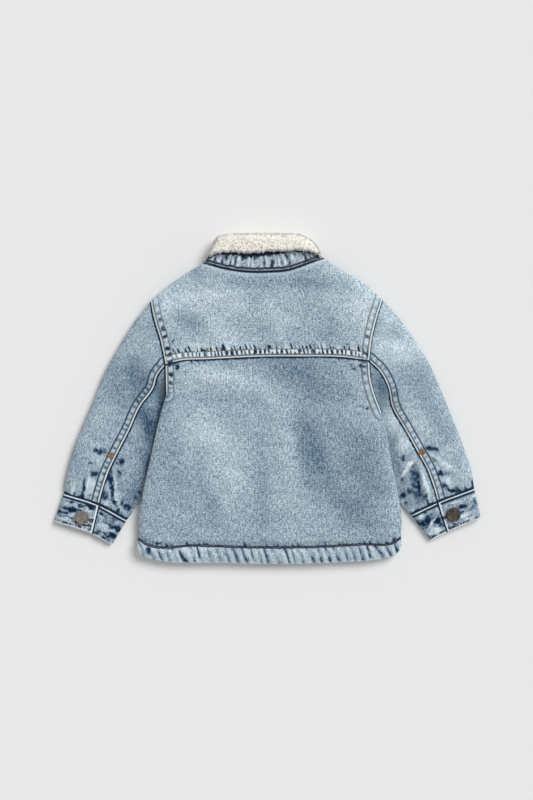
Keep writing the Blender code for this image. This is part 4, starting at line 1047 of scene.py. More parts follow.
def mesh(name: str, points: Array, faces: list[Array], sharp: float = 60.0, weld: bool = False) -> Mesh:
    """A smooth mesh in metres, with its faces pointing out and its sharp edges marked.

    Args:
        name: The mesh's name.
        points: The points, in millimetres.
        faces: Arrays of faces, each with its own count of corners.
        sharp: The angle in degrees past which an edge is sharp.
        weld: Whether points in the same place are made one.

    Returns:
        The mesh.
    """
    data = bpy.data.meshes.new(name)
    corners = [face for kind in faces for face in kind.tolist()]
    data.from_pydata((points.reshape(-1, 3) * MM).tolist(), [], corners)
    work = bmesh.new()
    work.from_mesh(data)
    if weld:
        bmesh.ops.remove_doubles(work, verts=work.verts, dist=1e-7)
    bmesh.ops.recalc_face_normals(work, faces=work.faces)
    work.to_mesh(data)
    work.free()
    data.shade_smooth()
    data.set_sharp_from_angle(angle=math.radians(sharp))
    return data


def spread(data: Mesh, uv: Array, colours: Array) -> None:
    """Gives each point its place on the cloth, in metres, and its marks.

    Args:
        data: The mesh.
        uv: The points' places, in millimetres.
        colours: The points' marks, as colours.
    """
    corner = np.zeros(len(data.loops), np.int32)
    data.loops.foreach_get("vertex_index", corner)
    layer = data.uv_layers.new(name=CLOTH_UV)
    layer.data.foreach_set("uv", (uv.reshape(-1, 2)[corner] * MM).astype(np.float32).ravel())
    marks = data.attributes.new(MARKS, "FLOAT_COLOR", "POINT")
    marks.data.foreach_set("color", colours.reshape(-1, 4).astype(np.float32).ravel())


def show(data: Mesh, material: Material) -> Object:
    """An object for a mesh, riding on the jacket.

    Args:
        data: The mesh.
        material: Its finish.

    Returns:
        The object.
    """
    data.materials.append(material)
    made = bpy.data.objects.new(data.name, data)
    bpy.context.scene.collection.objects.link(made)
    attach(made, "root")
    LOG.info("%s: %d faces", data.name, len(data.polygons))
    return made


def declare(node: str) -> None:
    """Hides the imported part of this node, which the piece stands in for."""
    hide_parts(node)


def abreast(*grids: Array) -> Array:
    """Grids side by side."""
    return np.concatenate(grids, axis=1)


def cloth_places(grid: Array) -> Array:
    """The place of each grid point on its cloth, from lengths along the rows and the columns.

    Args:
        grid: The points of the laid cloth, in rows and columns.

    Returns:
        Their flat places.
    """
    rows, columns = grid.shape[:2]
    across = np.zeros((rows, columns))
    across[:, 1:] = np.cumsum(np.linalg.norm(np.diff(grid, axis=1), axis=-1), axis=1)
    down = np.zeros((rows, columns))
    down[1:] = np.cumsum(np.linalg.norm(np.diff(grid, axis=0), axis=-1), axis=0)
    across = across - across[:, columns // 2][:, None]
    return np.stack([across, -down], axis=-1)


def solid(plan: Array, height: Array) -> Array:
    """Plan points and their heights as points in space."""
    return np.concatenate([plan, np.broadcast_to(height, plan.shape[:-1])[..., None]], axis=-1)


def inset(plan: Array, left: float = 0.0, right: float = 0.0, top: float = 0.0, bottom: float = 0.0) -> Array:
    """A plan grid drawn in from its sides: each row and column shrinks evenly by these distances.

    Args:
        plan: The plan grid.
        left: The distance on the left.
        right: The distance on the right.
        top: The distance at the first row.
        bottom: The distance at the last row.

    Returns:
        The smaller grid.
    """
    grid = plan.copy()
    for rows, near, far in ((grid, left, right), (grid.transpose(1, 0, 2), top, bottom)):
        across = unit(rows[:, -1] - rows[:, 0])[:, None]
        share = np.linspace(0.0, 1.0, rows.shape[1])[None, :, None]
        rows += across * (near * (1.0 - share) - far * share)
    return grid


@dataclass
class ClothWall:
    """A closed wall between a fine outer grid and an inner one, which has every few rows and columns."""

    name: str
    outer: Array
    inner: Array
    marks: Marks
    places: Array

    def build(self, material: Material, node: str, slot: str = "denim") -> Object:
        """Makes the wall's piece, with its places on the cloth and its marks.

        Args:
            material: Its finish.
            node: The node that it stands for.
            slot: Not used.

        Returns:
            The piece.
        """
        rows, columns = self.outer.shape[:2]
        few_rows, few_columns = self.inner.shape[:2]
        first = rows * columns
        fine = np.arange(first).reshape(rows, columns)
        inner = first + np.arange(few_rows * few_columns).reshape(few_rows, few_columns)
        sides = [
            (fine[0], inner[0]), (fine[-1], inner[-1]), (fine[:, 0], inner[:, 0]), (fine[:, -1], inner[:, -1])
        ]
        faces = [quads(rows, columns), quads(few_rows, few_columns, first)]
        faces += [rim(outer, inside) for outer, inside in sides]
        points = np.concatenate([self.outer.reshape(-1, 3), self.inner.reshape(-1, 3)])
        data = mesh(self.name, points, faces)
        both = [
            np.concatenate([a.reshape(-1, a.shape[-1]), a[FEW].reshape(-1, a.shape[-1])])
            for a in (self.places, self.marks.colours())
        ]
        spread(data, *both)
        piece = show(data, material)
        declare(node)
        return piece


@dataclass
class ClothSurface:
    """The outer surface of a cloth piece, over its plan: its bare form, its seams, and its wash with painted
    light and shade.
    """

    bare: Height
    seed: int
    patches: list[Patch] = field(default_factory=list)
    pressed: list[Crease] = field(default_factory=list)
    laps: list[tuple[Array, FelledSeam]] = field(default_factory=list)
    tucks: list[tuple[Array, TuckedEdge]] = field(default_factory=list)
    mottled: Array | None = None
    mottle_reach: float = 36.0
    mottle: float = 1.0
    press_depth: float = 0.8
    rumple: float = 0.3
    ripple: float = 0.12

    def dress(self, plan: Array) -> tuple[Array, Marks]:
        """The height and the marks over plan points.

        The height is the bare form, cloudy unevenness, pressed creases and the seams' own forms.
        The tone is the sum of the soft patches and of clouds. Where seams meet, the higher step holds.

        Args:
            plan: Plan points.

        Returns:
            The height and the marks of each point.
        """
        marks = Marks.plain(plan.shape[:-1])
        clouds = Noise(self.seed).cloud(plan, 34.0)
        small = Noise(self.seed + 7).cloud(plan, 15.0, 2)
        marks.tone = folds(plan, self.patches) + 0.05 * clouds + 0.07 * small
        height = self.bare(plan) + self.rumple * clouds + self.ripple * Noise(self.seed + 3).cloud(plan, 7.0)
        if self.mottled is not None:
            along, away = beside(plan, self.mottled)
            near = fade(np.abs(away) / self.mottle_reach)
            flow = np.stack([along, np.abs(away) / 2.8], axis=-1)
            blots = Noise(self.seed + 20).cloud(flow, 5.0, 2) * (0.35 + 0.65 * near)
            marks.dye_and_shade(self.mottle * near * 0.85 * ease((blots - 0.16) / 0.36))
            marks.wear(self.mottle * near * 0.8 * ease((-blots - 0.18) / 0.32))
            height = height - 0.5 * near * np.clip(blots, -0.6, 0.6)
        marks.press(plan, self.pressed, self.seed)
        height = height + pressed_relief(plan, self.pressed, self.press_depth)
        step = np.zeros(plan.shape[:-1])
        for line, seam in self.laps:
            along, across = beside(plan, line)
            across = np.abs(across)
            step = np.maximum(step, seam.step_up(across))
            height = height + seam.carve(along, across)
            seam.mark(marks, along, across)
        for line, tuck in self.tucks:
            along, across = beside(plan, line)
            height = height + tuck.relief(np.abs(across))
            tuck.mark(marks, along, np.abs(across))
        return height + step, marks

    def height(self, plan: Array) -> Array:
        """The surface's height over plan points."""
        return self.dress(plan)[0]


ROLLED_STEPS = (0.0, 0.15, 0.45, 1.0, 1.8, 2.8)
SEWN_STEPS = (0.0, 0.3, 0.8, 1.5)
TOWARDS_BODY = {Side.LEFT: 1.0, Side.RIGHT: -1.0}


def shifted(line: Array, away: float) -> Array:
    """A line moved to the left of its own direction by a distance."""
    way = unit(np.gradient(line, axis=0))
    return line + away * np.stack([-way[:, 1], way[:, 0]], axis=1)


def level(line: Array, x: Array) -> Array:
    """How far up the plan a line runs at these places across it."""
    return np.interp(x, line[:, 0], line[:, 1])


def trimmed(line: Array, start: float, end: float) -> Array:
    """A line without these lengths at its start and its end."""
    length = run(line)[-1]
    return spaced(line, np.linspace(start / length, 1.0 - end / length, max(2, len(line))))


def lay(piece: Object, places: Array, rests_on: list[str], sewn: list[Object] | None = None) -> None:
    """Works out the area of the sheet that a piece is cut from, and keeps nothing of it.

    Its area adds up half the cross product of the diagonals of every cell.

    Args:
        piece: Not used.
        places: The place of each of its grid's points on the flat cloth, in millimetres.
        rests_on: Not used.
        sewn: Not used.
    """
    one = places[1:, 1:] - places[:-1, :-1]
    other = places[1:, :-1] - places[:-1, 1:]
    area = 0.5 * np.abs(one[..., 0] * other[..., 1] - one[..., 1] * other[..., 0]).sum()
    width, length = np.ptp(places[..., 0]), np.ptp(places[..., 1])
    area = float(min(area, width * length) * MM * MM)


@dataclass(frozen=True)
class Thread:
    """A sewing thread: how long, wide and high one of its stitches is, and how far apart they lie."""

    pitch: float = 3.3
    length: float = 3.05
    width: float = 1.0
    rise: float = 0.42
    sides: int = 6
    rings: tuple = (-1.0, -0.72, 0.0, 0.72, 1.0)

    def grain(self) -> tuple[Array, list[Array]]:
        """One stitch, shaped as a grain of rice: round sections whose size is a half circle's height.

        Returns:
            Its points, as shares of its length, width and height, and its faces.
        """
        t = np.array(self.rings)[:, None]
        turn = around(self.sides)[None]
        size = np.sqrt(np.clip(1.0 - t * t, 0.02, 1.0))
        points = np.stack(np.broadcast_arrays(t, size * np.cos(turn), size * np.sin(turn)), axis=-1)
        caps = [np.arange(self.sides)[None], (len(self.rings) - 1) * self.sides + np.arange(self.sides)[None]]
        return points.reshape(-1, 3), [quads(len(self.rings), self.sides, closed=True), *caps]

    def sew(self, places: Array, ways: Array, height: Height, length: float | None = None) -> Array:
        """The points of stitches that lie on a surface.

        Each stitch's own directions are its way over the surface, the level way across it, and the
        normal of both.

        Args:
            places: The stitches' plan centres.
            ways: Their plan directions.
            height: The surface's height over plan points.
            length: Their length, where it isn't the thread's own.

        Returns:
            The points of every stitch.
        """
        ways = unit(ways)
        sides = np.stack([-ways[:, 1], ways[:, 0]], axis=1)
        reach = 0.5 * (length or self.length)
        middle = height(places)
        rise_on = (height(places + 0.7 * reach * ways) - height(places - 0.7 * reach * ways)) / (1.4 * reach)
        rise_side = height(places + 0.5 * sides) - height(places - 0.5 * sides)
        on, over = unit(solid(ways, rise_on)), unit(solid(sides, rise_side))
        up = np.cross(on, over)
        shape = self.grain()[0]
        centre = solid(places, middle + 0.25 * self.rise)
        return (
            centre[:, None]
            + reach * shape[None, :, :1] * on[:, None]
            + 0.5 * self.width * shape[None, :, 1:2] * over[:, None]
            + self.rise * shape[None, :, 2:] * up[:, None]
        )

    def row(self, line: Array, height: Height, seed: int) -> Array:
        """Stitches along a plan line, each a little off its even place.

        Args:
            line: The plan line.
            height: The surface's height over plan points.
            seed: The seed of their places.

        Returns:
            The points of every stitch.
        """
        length = run(line)[-1]
        count = max(2, round(length / self.pitch))
        at = (np.arange(count) + 0.5) / count
        at = at + 0.06 / count * np.random.default_rng(seed).normal(size=count)
        before, after = [spaced(line, np.clip(at + way * 0.3 / count, 0.0, 1.0)) for way in (-1.0, 1.0)]
        return self.sew(spaced(line, at), after - before, height)

    def tack(self, centre: Mark | Array, angle: float, length: float, width: float, height: Height) -> Array:
        """A bar of close stitches across a line.

        Args:
            centre: The bar's centre.
            angle: Its direction in degrees.
            length: Its length.
            width: How wide it is, which is the length of its stitches.
            height: The surface's height over plan points.

        Returns:
            The points of its stitches, which lean to either side by turns.
        """
        count = max(3, round(length / (0.75 * self.width)))
        turn = math.radians(angle)
        way = np.array([math.cos(turn), math.sin(turn)])
        across = np.array([-way[1], way[0]])
        at = np.linspace(-0.5, 0.5, count)[:, None] * length
        lean = np.where(np.arange(count) % 2 == 0, 0.16, -0.16)[:, None]
        places = np.array(centre) + at * way
        return self.sew(places, across + lean * way, height, width)

    def make(self, name: str, groups: list[Array], material: Material) -> Object:
        """One object for groups of stitches.

        Args:
            name: The piece's name.
            groups: The points of each group of stitches.
            material: Its finish.

        Returns:
            The object.
        """
        points = np.concatenate(groups)
        few, faces = self.grain()
        data = mesh(name, points, copies(faces, len(points), len(few)), 180.0)
        return show(data, material)


def linear(red: float, green: float, blue: float) -> tuple:
    """A screen colour of 0 to 255 as linear light, with its alpha.

    Args:
        red: Its red, from 0 to 255.
        green: Its green, from 0 to 255.
        blue: Its blue, from 0 to 255.

    Returns:
        The colour's four numbers.
    """
    share = np.array([red, green, blue]) / 255.0
    light = np.where(share <= 0.04045, share / 12.92, ((share + 0.055) / 1.055) ** 2.4)
    return (*light.tolist(), 1.0)


class Graph:
    """Adds nodes to a node tree and joins them."""

    def __init__(self, tree: NodeTree) -> None:
        """Takes the tree that the nodes go in."""
        self.tree = tree

    def add(self, kind: str, inputs: dict | None = None, **settings: object) -> Node:
        """Adds a node.

        Args:
            kind: The kind of node, without its prefix.
            inputs: What goes in each input: a value, or another node's output.
            settings: The node's own settings.

        Returns:
            The node.
        """
        node = self.tree.nodes.new(kind if kind.startswith("NodeGroup") else "ShaderNode" + kind)
        for name, value in settings.items():
            setattr(node, name, value)
        for key, value in (inputs or {}).items():
            self.feed(node.inputs[key], value)
        return node

    def feed(self, socket: NodeSocket, value: object) -> None:
        """Joins an output to an input, or sets the input's value.

        Args:
            socket: The input.
            value: An output or a value.
        """
        if isinstance(value, NodeSocket):
            self.tree.links.new(value, socket)
        else:
            socket.default_value = value

    def maths(self, operation: str, *values: object) -> NodeSocket:
        """The outcome of a sum on numbers."""
        node = self.add("Math", dict(enumerate(values)), operation=operation)
        return node.outputs[0]

    def mix(self, share: object, one: object, other: object) -> NodeSocket:
        """A colour between two, at a share of the way."""
        node = self.add("Mix", {0: share, 6: one, 7: other}, data_type="RGBA")
        return node.outputs[2]

    def blend(self, share: object, one: object, other: object) -> NodeSocket:
        """A number between two, at a share of the way."""
        return self.add("Mix", {0: share, 2: one, 3: other}, data_type="FLOAT").outputs[0]

    def step(self, value: object, low: float, high: float, top: float = 1.0) -> NodeSocket:
        """A smooth step from 0 to the top as a value goes from low to high."""
        inputs = {"Value": value, "From Min": low, "From Max": high, "To Max": top}
        return self.add("MapRange", inputs, interpolation_type="SMOOTHSTEP").outputs[0]

    def marks(self) -> NodeSocket:
        """The marks of the cloth or the pile."""
        return self.add("Attribute", attribute_name=MARKS, attribute_type="GEOMETRY").outputs["Color"]

    def dress(self, colour: object, strength: float, depth: float, height: object) -> None:
        """Gives the shader a colour, and a bump of this strength and this depth in millimetres.

        Args:
            colour: The colour, or its output.
            strength: The bump's strength.
            depth: The depth of its relief.
            height: The output that gives its height.
        """
        shader = self.tree.nodes["Principled BSDF"]
        bump = self.add("Bump", {"Strength": strength, "Distance": depth * MM, "Height": height})
        self.feed(shader.inputs["Base Color"], colour)
        self.feed(shader.inputs["Normal"], bump.outputs[0])

    def noise(self, vector: object, size: float, detail: float = 2.0, rough: float = 0.6) -> NodeSocket:
        """Cloudy noise from 0 to 1 whose largest spots have this size in millimetres."""
        inputs = {"Vector": vector, "Scale": 1.0 / (size * MM), "Detail": detail, "Roughness": rough}
        return self.add("TexNoise", inputs).outputs[0]


def denim_group() -> NodeTree:
    """The group of washed denim, which works on its brightness on a screen, from 0 to 1.

    That is the ground's level scaled by the tone, which is partly painted light and shade, plus the yarn's
    grain. Left indigo, and the painted shadow and shade in that mark, take it down to the navy's level,
    and wear, with the painted highlight in that mark, up to the white's. The colour is the brightness
    plus a steady lean and a blue cast, which weakens as the brightness grows, raised to the screen's
    gamma. The barest edges are cream.

    Returns:
        The group.
    """
    tree = bpy.data.node_groups.new("washed_denim", "ShaderNodeTree")
    for direction, kind, names in (
        ("INPUT", "Vector", ("Place", "Cast", "Lean")), ("INPUT", "Color", ("Marks", "Bare")),
        ("INPUT", "Float", ("Level", "Grain", "Navy", "White")),
        ("OUTPUT", "Color", ("Color",)), ("OUTPUT", "Float", ("Height",)),
    ):
        for name in names:
            tree.interface.new_socket(name=name, in_out=direction, socket_type="NodeSocket" + kind)
    graph = Graph(tree)
    given = tree.nodes.new("NodeGroupInput").outputs
    place = given["Place"]
    slub_place = graph.add("VectorMath", {0: place, 1: (1.0, 0.4, 1.0)}, operation="MULTIPLY").outputs[0]
    yarn = graph.noise(place, 1.5, 1.0)
    grain = graph.maths("MULTIPLY_ADD", yarn, 0.62, -0.5)
    grain = graph.maths("MULTIPLY_ADD", graph.noise(slub_place, 2.2, 1.0), 0.32, grain)
    grain = graph.maths("MULTIPLY_ADD", graph.noise(place, 7.0, 1.0), 0.06, grain)
    marks = graph.add("SeparateColor", {0: given["Marks"]}).outputs
    level = graph.maths("MULTIPLY", graph.maths("MULTIPLY", marks[2], 2.0), given["Level"])
    level = graph.maths("MULTIPLY_ADD", grain, given["Grain"], level)
    speck = graph.step(graph.noise(place, 1.9, 0.0), 0.66, 0.8, 0.14)
    level = graph.maths("SUBTRACT", level, speck)
    indigo = graph.step(graph.maths("MULTIPLY_ADD", grain, 1.2, marks[1]), 0.08, 0.92)
    level = graph.blend(indigo, level, given["Navy"])
    worn = graph.step(graph.maths("MULTIPLY_ADD", grain, -1.2, marks[0]), 0.1, 1.0)
    level = graph.blend(worn, level, given["White"])
    inputs = {"Value": level, "From Min": 0.25, "From Max": 0.85, "To Min": 2.0, "To Max": 0.5}
    share = graph.add("MapRange", inputs).outputs[0]
    cast = graph.add("VectorMath", {0: given["Cast"], "Scale": share}, operation="SCALE").outputs[0]
    screen = graph.add("VectorMath", {0: level, 1: cast}, operation="ADD").outputs[0]
    screen = graph.add("VectorMath", {0: screen, 1: given["Lean"]}, operation="ADD").outputs[0]
    colour = graph.add("Gamma", {0: screen, 1: 2.2}).outputs[0]
    colour = graph.mix(graph.step(marks[0], 0.8, 1.0, 0.8), colour, given["Bare"])
    parts = graph.add("SeparateXYZ", {0: place}).outputs
    lines = graph.maths("MULTIPLY", graph.maths("ADD", parts[0], parts[1]), 2.0 * math.pi / (0.95 * MM))
    twill = graph.maths("MULTIPLY", graph.maths("SINE", lines), 0.12)
    graph.add("NodeGroupOutput", {"Color": colour, "Height": graph.maths("ADD", yarn, twill)})
    return tree


def new_material(name: str, values: dict) -> tuple[Material, Graph]:
    """A material with these values on its shader's inputs, and the graph of its nodes.

    Args:
        name: The material's name.
        values: Each input's value.

    Returns:
        The material and the graph.
    """
    made = bpy.data.materials.new(name)
    made.use_nodes = True
    for key, value in values.items():
        made.node_tree.nodes["Principled BSDF"].inputs[key].default_value = value
    return made, Graph(made.node_tree)


@dataclass(frozen=True)
class DenimFinish:
    """Washed denim: the brightness of its ground, its unfaded and its worn places, and its cast."""

    name: str
    level: float = 0.652
    grain: float = 1.42
    navy: float = 0.16
    white: float = 0.9
    cast: tuple = (-0.023, -0.002, 0.040)
    lean: tuple = (-0.037, 0.013, 0.022)
    bare: tuple = (236, 232, 220)

    def make(self, group: NodeTree) -> Material:
        """The material, which reads the cloth's own places and marks.

        Args:
            group: The group of washed denim.

        Returns:
            The material.
        """
        values = {"Roughness": 0.92, "Specular IOR Level": 0.2, "Sheen Weight": 0.06, "Sheen Roughness": 0.5}
        material, graph = new_material(self.name, values)
        denim = graph.add("Group", node_tree=group)
        graph.feed(denim.inputs["Place"], graph.add("UVMap", uv_map=CLOTH_UV).outputs[0])
        graph.feed(denim.inputs["Marks"], graph.marks())
        for name in ("level", "grain", "navy", "white", "cast", "lean"):
            denim.inputs[name.title()].default_value = getattr(self, name)
        denim.inputs["Bare"].default_value = linear(*self.bare)
        graph.dress(denim.outputs["Color"], 0.5, 0.3, denim.outputs["Height"])
        return material


@dataclass(frozen=True)
class ThreadFinish:
    """Spun thread: its screen colour, with the fading and the fuzz of wear."""

    name: str
    colour: tuple
    faded: tuple

    def make(self) -> Material:
        """The material: two colours by noise, and a fibrous bump.

        Returns:
            The material.
        """
        material, graph = new_material(self.name, {"Roughness": 0.8, "Specular IOR Level": 0.3})
        place = graph.add("TexCoord").outputs["Object"]
        faded = graph.step(graph.noise(place, 9.0, 3.0, 0.7), 0.4, 0.62)
        colour = graph.mix(faded, linear(*self.colour), linear(*self.faded))
        graph.dress(colour, 0.5, 0.15, graph.noise(place, 0.4, 1.0))
        return material


@dataclass(frozen=True)
class SherpaFinish:
    """Cream pile: its screen colours on the curls, and the painted shade between them."""

    name: str = "sherpa_cream"
    curl: tuple = (247, 243, 234)
    # The colour between the curls is painted shade.
    hollow_shade: tuple = (176, 163, 142)

    def make(self) -> Material:
        """The material: colour by the pile's own height mark, which paints shade into the hollows, with
        noise, a painted highlight where the surface turns away from the view, sheen and a fibrous bump.

        Returns:
            The material.
        """
        values = {"Roughness": 1.0, "Specular IOR Level": 0.15, "Sheen Weight": 1.0, "Sheen Roughness": 0.4}
        values |= {"Subsurface Weight": 0.7, "Subsurface Radius": (1.0, 0.9, 0.75)}
        material, graph = new_material(self.name, values | {"Subsurface Scale": 2.5 * MM})
        place = graph.add("TexCoord").outputs["Object"]
        # The pile's height mark: low in the hollows, which take the painted shade.
        height = graph.add("SeparateColor", {0: graph.marks()}).outputs[0]
        patchy = graph.maths("MULTIPLY_ADD", graph.noise(place, 3.0, 2.0), 0.3, -0.15)
        share = graph.step(graph.maths("ADD", height, patchy), 0.0, 0.8)
        # Painted highlight: the colour goes over to the curls' cream where the surface turns away from the
        # view.
        rim_highlight = graph.add("LayerWeight", {"Blend": 0.5}).outputs["Facing"]
        share = graph.maths("ADD", share, graph.step(rim_highlight, 0.45, 0.85))
        share = graph.maths("MINIMUM", share, 1.0)
        colour = graph.mix(share, linear(*self.hollow_shade), linear(*self.curl))
        graph.dress(colour, 0.7, 0.35, graph.noise(place, 0.8, 2.0, 0.7))
        return material


@dataclass(frozen=True)
class MetalFinish:
    """Aged button metal: the screen colours of its rubbed and its tarnished places."""

    name: str
    rubbed: tuple
    tarnished: tuple
    roughness: float = 0.36

    def make(self) -> Material:
        """The material: two colours and two roughnesses by noise, and fine pits.

        Returns:
            The material.
        """
        material, graph = new_material(self.name, {"Metallic": 0.9})
        place = graph.add("TexCoord").outputs["Object"]
        rub = graph.step(graph.noise(place, 3.2, 4.0, 0.7), 0.38, 0.64)
        grain = graph.noise(place, 0.7, 2.0)
        inputs = {"Value": grain, "To Min": self.roughness, "To Max": self.roughness + 0.2}
        rough = graph.add("MapRange", inputs).outputs[0]
        graph.feed(graph.tree.nodes["Principled BSDF"].inputs["Roughness"], rough)
        graph.dress(graph.mix(rub, linear(*self.tarnished), linear(*self.rubbed)), 0.35, 0.1, grain)
        return material


class Finishes:
    """Every material of the jacket."""

    def __init__(self) -> None:
        """Makes the materials, the denims all with one group."""
        group = denim_group()
        self.denim = DenimFinish("denim_washed").make(group)
        self.dark_denim = DenimFinish("denim_dark", level=0.615, grain=1.7, navy=0.12).make(group)
        self.stand_denim = DenimFinish("denim_stand", 0.655, 1.3, cast=(-0.008, -0.006, 0.030)).make(group)
        self.tan = ThreadFinish("thread_tan", (104, 92, 68), (136, 124, 102)).make()
        self.golden = ThreadFinish("thread_golden", (126, 104, 58), (144, 124, 82)).make()
        self.orange = ThreadFinish("thread_orange", (188, 120, 44), (142, 96, 52)).make()
        self.brown = ThreadFinish("thread_brown", (46, 40, 48), (92, 76, 70)).make()
        self.navy = ThreadFinish("thread_navy", (26, 30, 48), (46, 52, 74)).make()
        self.sherpa = SherpaFinish().make()
        self.pewter = MetalFinish("button_pewter", (158, 153, 147), (118, 113, 109), 0.55).make()
        self.gunmetal = MetalFinish("button_gunmetal", (100, 95, 88), (66, 61, 57), 0.42).make()


@dataclass
class Back:
    """The jacket's back: the yoke, the panel below it, and the turned hem."""

    body: LaidBody
    finishes: Finishes
    yoke_pitch: tuple = (1.05, 0.9)
    panel_pitch: tuple = (1.15, 1.1)
    hem_size: tuple = (303.0, 18.5)
    hem_pitch: tuple = (0.8, 0.75)
    hem_waves: int = 31
    wave_height: float = 0.9
    wave_slant: float = -7.5
    edge_drop: float = 3.4
    hem_roll: float = 9.0
    hem_mouth: float = 0.9

    def __post_init__(self) -> None:
        """Works out the two main surfaces."""
        yoke_lap = FelledSeam(11, pitch=5.2, worn=0.9, hatch=0.95, hatch_reach=11.0, strong=(45.0, 2000.0))
        left = FelledSeam(21, pitch=8.6, dyed=0.95, worn=0.5, pucker=0.5, strong=(50.0, 86.0))
        right = FelledSeam(25, pitch=9.0, dyed=0.6, worn=0.5, pucker=0.4, strong=(60.0, 84.0))
        sides = [(ARMHOLE[Side.LEFT], left), (ARMHOLE[Side.RIGHT], right)]
        self.yoke_surface = ClothSurface(
            self.body.top, 101, BODY_PATCHES, BODY_PRESSED, [(YOKE_LINE, yoke_lap), *sides]
        )
        self.panel_surface = ClothSurface(
            self.body.top, 102, BODY_PATCHES, BODY_PRESSED, sides,
            [(YOKE_LINE, TuckedEdge(31, hatch=0.9, hatch_reach=8.0, shade=0.08))],
        )

    def hem_plan(self) -> tuple[Array, Array]:
        """The hem's plan, and the share of the way from its stitching to its edge.

        Returns:
            The plan's points and the share of each.
        """
        across = graded(self.hem_size[0], self.hem_pitch[0], SEWN_STEPS, SEWN_STEPS)
        down = graded(self.hem_size[1], self.hem_pitch[1], (0.0, 0.4), (0.0, 0.25, 0.7, 1.3))
        ends = [np.array([HEM_LINE[k], HEM_OUTLINE[k]]) for k in (0, -1)]
        plan = coons(HEM_LINE, HEM_OUTLINE, *ends, across, down)
        return plan, np.broadcast_to(down[:, None], plan.shape[:2])

    def hem_dress(self, plan: Array, share: Array | None = None) -> tuple[Array, Marks]:
        """The hem's outer surface and marks.

        Roping: sine waves whose phase runs along the hem and, by the slant, across it, and wanders.
        A valley is the wave's low half raised to a power, which falls from the stitching to the edge,
        so the valleys are narrower than the ridges and widen downwards.

        Args:
            plan: Plan points.
            share: Their share of the way from the stitching to the edge, if known.

        Returns:
            The height and the marks of each point.
        """
        from_seam, from_edge = distance(plan, HEM_LINE), distance(plan, HEM_OUTLINE)
        share = from_seam / (from_seam + from_edge) if share is None else share
        x = plan[..., 0]
        phase = (x + self.wave_slant * share) * self.hem_waves / (HEM_LINE[-1, 0] - HEM_LINE[0, 0])
        phase = phase + 0.34 * Noise(41).line(x / 11.0) + 0.13 * Noise(42).cloud(plan, 5.0)
        strength = 0.7 + 0.3 * Noise(43).line(x / 6.5)
        wave = np.sin(2.0 * np.pi * phase)
        some = ease(0.85 + 0.8 * Noise(50).plane(x / 5.5, 2.2 * share))
        valley = (0.5 - 0.5 * wave) ** (4.6 - 2.6 * share) * some
        inside = np.sin(np.pi * np.clip(share, 0.0, 0.85))
        drop = self.edge_drop * (1.0 - roll(from_edge / self.hem_roll))
        height = self.body.top(plan) + strength * inside * (self.wave_height * wave - 0.5 * valley) - drop
        height = height - 0.5 * bell((from_seam - 1.3) / 0.8) + 0.15 * Noise(44).cloud(plan, 5.0)
        marks = Marks.plain(plan.shape[:-1])
        marks.tone = 0.06 + folds(plan, BODY_PATCHES) + 0.08 * Noise(45).cloud(plan, 20.0)
        broken = 0.75 + 0.35 * Noise(46).cloud(plan, 4.0)
        marks.wear(0.72 * ease((wave - 0.05) / 0.8) * strength * ease(from_seam / 2.0) * broken)
        marks.wear(0.75 * ease((3.2 - from_edge) / 2.0) * (1.0 - valley))
        clear = ease((from_seam - 0.4) / 1.5) * ease((from_edge - 0.6) / 1.4)
        marks.dye_and_shade(1.15 * valley * strength * broken * clear)
        marks.press(plan, BODY_PRESSED, 47)
        marks.dye_and_shade(0.95 * bell((from_seam - 0.9 - 0.5 * Noise(49).line(x / 2.0)) / 1.0))
        return height, marks

    def hem_height(self, plan: Array) -> Array:
        """The hem's height over plan points."""
        return self.hem_dress(plan)[0]

    def wall(self, name: str, node: str, plan: Array, dressed: tuple, gaps: dict, lift: Array) -> Object:
        """A wall of the back.

        Args:
            name: The piece's name.
            node: The node that it stands for.
            plan: Its plan grid.
            dressed: Its outer height and marks.
            gaps: How far it is drawn in from its sides.
            lift: How much its inner surface lies above the body's.

        Returns:
            The piece.
        """
        drawn = inset(plan, **gaps)
        inner = self.body.back_inside(plan[FEW]) + np.broadcast_to(lift, plan.shape[:2])[FEW]
        cloth = ClothWall(name, solid(drawn, dressed[0]), solid(drawn[FEW], inner), dressed[1], plan)
        return cloth.build(self.finishes.denim, node)

    def build(self) -> None:
        """Makes the three pieces and their stitches."""
        half = dict.fromkeys(("left", "right", "top", "bottom"), 0.5 * SEAM_GAP)
        top = joined(EDGE[Side.LEFT]["shoulder"][::-1], NECK_LINE, EDGE[Side.RIGHT]["shoulder"])
        yoke_plan = coons(
            top, YOKE_LINE, *[EDGE[side]["above"] for side in Side],
            graded(250.0, self.yoke_pitch[0], ROLLED_STEPS, ROLLED_STEPS),
            graded(95.0, self.yoke_pitch[1], ROLLED_STEPS, SEWN_STEPS),
        )
        height, marks = self.yoke_surface.dress(yoke_plan)
        below = distance(yoke_plan, NECK_LINE) - 0.25 * Noise(53).line(yoke_plan[..., 0] / 1.6)
